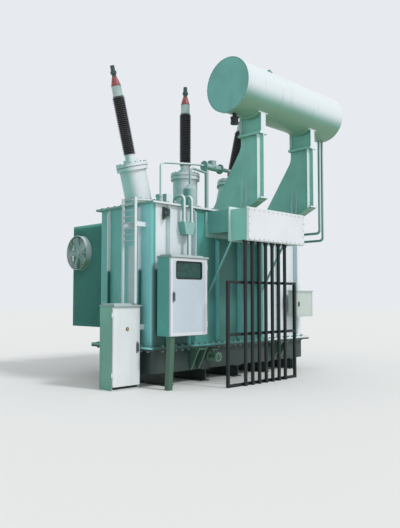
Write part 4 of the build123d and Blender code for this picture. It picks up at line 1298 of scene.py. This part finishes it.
# Collars where the conduits enter, and the door of the far cabinet
collar_outline = (
    (conduit_radius, 0),
    (collar_radius, 0),
    (collar_radius, collar_height - edge_round),
    (collar_radius - edge_round, collar_height),
    (conduit_radius, collar_height),
)
bm = bmesh.new()
for x in conduit_spots:
    add_lathe(bm, collar_outline, collar_steps, standing((x, *conduit_pocket_spot)))
    add_lathe(bm, collar_outline, collar_steps, standing((x, conduit_cover_row, cover_top)))
make_piece("conduit_collars", bm, [paint])

bm = bmesh.new()
far_place = on_front(middle(far_door_box), far_door_front)
add_band(bm, far_place, *extent(far_door_box), door_corner, far_door_band, far_door_rise, 0)
add_plate(bm, on_front(far_latch_spot, far_door_front), *far_latch_size, far_latch_corner, far_latch_rise, 1)
make_piece("far_cabinet_door", bm, [far_paint, dark_metal])

# Stage
half = floor_size / 2
floor_mesh = bpy.data.meshes.new("floor")
floor_corners = [(-half, -half, 0), (half, -half, 0), (half, half, 0), (-half, half, 0)]
floor_mesh.from_pydata(floor_corners, [], [(0, 1, 2, 3)])
floor = bpy.data.objects.new("floor", floor_mesh)
bpy.context.collection.objects.link(floor)
floor_material, _, floor_shader = new_material("floor_pale")
floor_shader.inputs["Base Color"].default_value = (*floor_color, 1.0)
floor_shader.inputs["Roughness"].default_value = floor_roughness
floor_mesh.materials.append(floor_material)

world = bpy.data.worlds.new("studio")
bpy.context.scene.world = world
world.use_nodes = True
world_tree = world.node_tree
light = world_tree.nodes["Background"]
light.inputs["Color"].default_value = (1.0, 1.0, 1.0, 1.0)
light.inputs["Strength"].default_value = world_strength
seen = world_tree.nodes.new("ShaderNodeBackground")
seen.inputs["Color"].default_value = (*backdrop_color, 1.0)
light_path = world_tree.nodes.new("ShaderNodeLightPath")
looked_at = light_path.outputs["Is Camera Ray"]
for ray in ("Is Glossy Ray", "Is Transmission Ray"):
    either = world_tree.nodes.new("ShaderNodeMath")
    either.operation = "MAXIMUM"
    world_tree.links.new(looked_at, either.inputs[0])
    world_tree.links.new(light_path.outputs[ray], either.inputs[1])
    looked_at = either.outputs["Value"]
chooser = world_tree.nodes.new("ShaderNodeMixShader")
world_tree.links.new(looked_at, chooser.inputs["Fac"])
world_tree.links.new(light.outputs["Background"], chooser.inputs[1])
world_tree.links.new(seen.outputs["Background"], chooser.inputs[2])
world_tree.links.new(chooser.outputs["Shader"], world_tree.nodes["World Output"].inputs["Surface"])

sun_data = bpy.data.lights.new("key", "SUN")
sun_data.energy = sun_strength
sun_data.angle = sun_angle
sun = bpy.data.objects.new("key", sun_data)
bpy.context.collection.objects.link(sun)
sun.rotation_mode = "QUATERNION"
sun.rotation_quaternion = Vector(sun_direction).to_track_quat("-Z", "Y")

camera_data = bpy.data.cameras.new("camera")
camera_data.sensor_width = sensor_mm
camera_data.lens = focal_px * sensor_mm / image_height_px
camera = bpy.data.objects.new("camera", camera_data)
bpy.context.collection.objects.link(camera)
camera.location = camera_place
camera.rotation_mode = "QUATERNION"
camera.rotation_quaternion = Vector(camera_forward).to_track_quat("-Z", "Y")
bpy.context.scene.camera = camera

bpy.context.scene.view_settings.view_transform = "Standard"

bpy.context.view_layer.update()
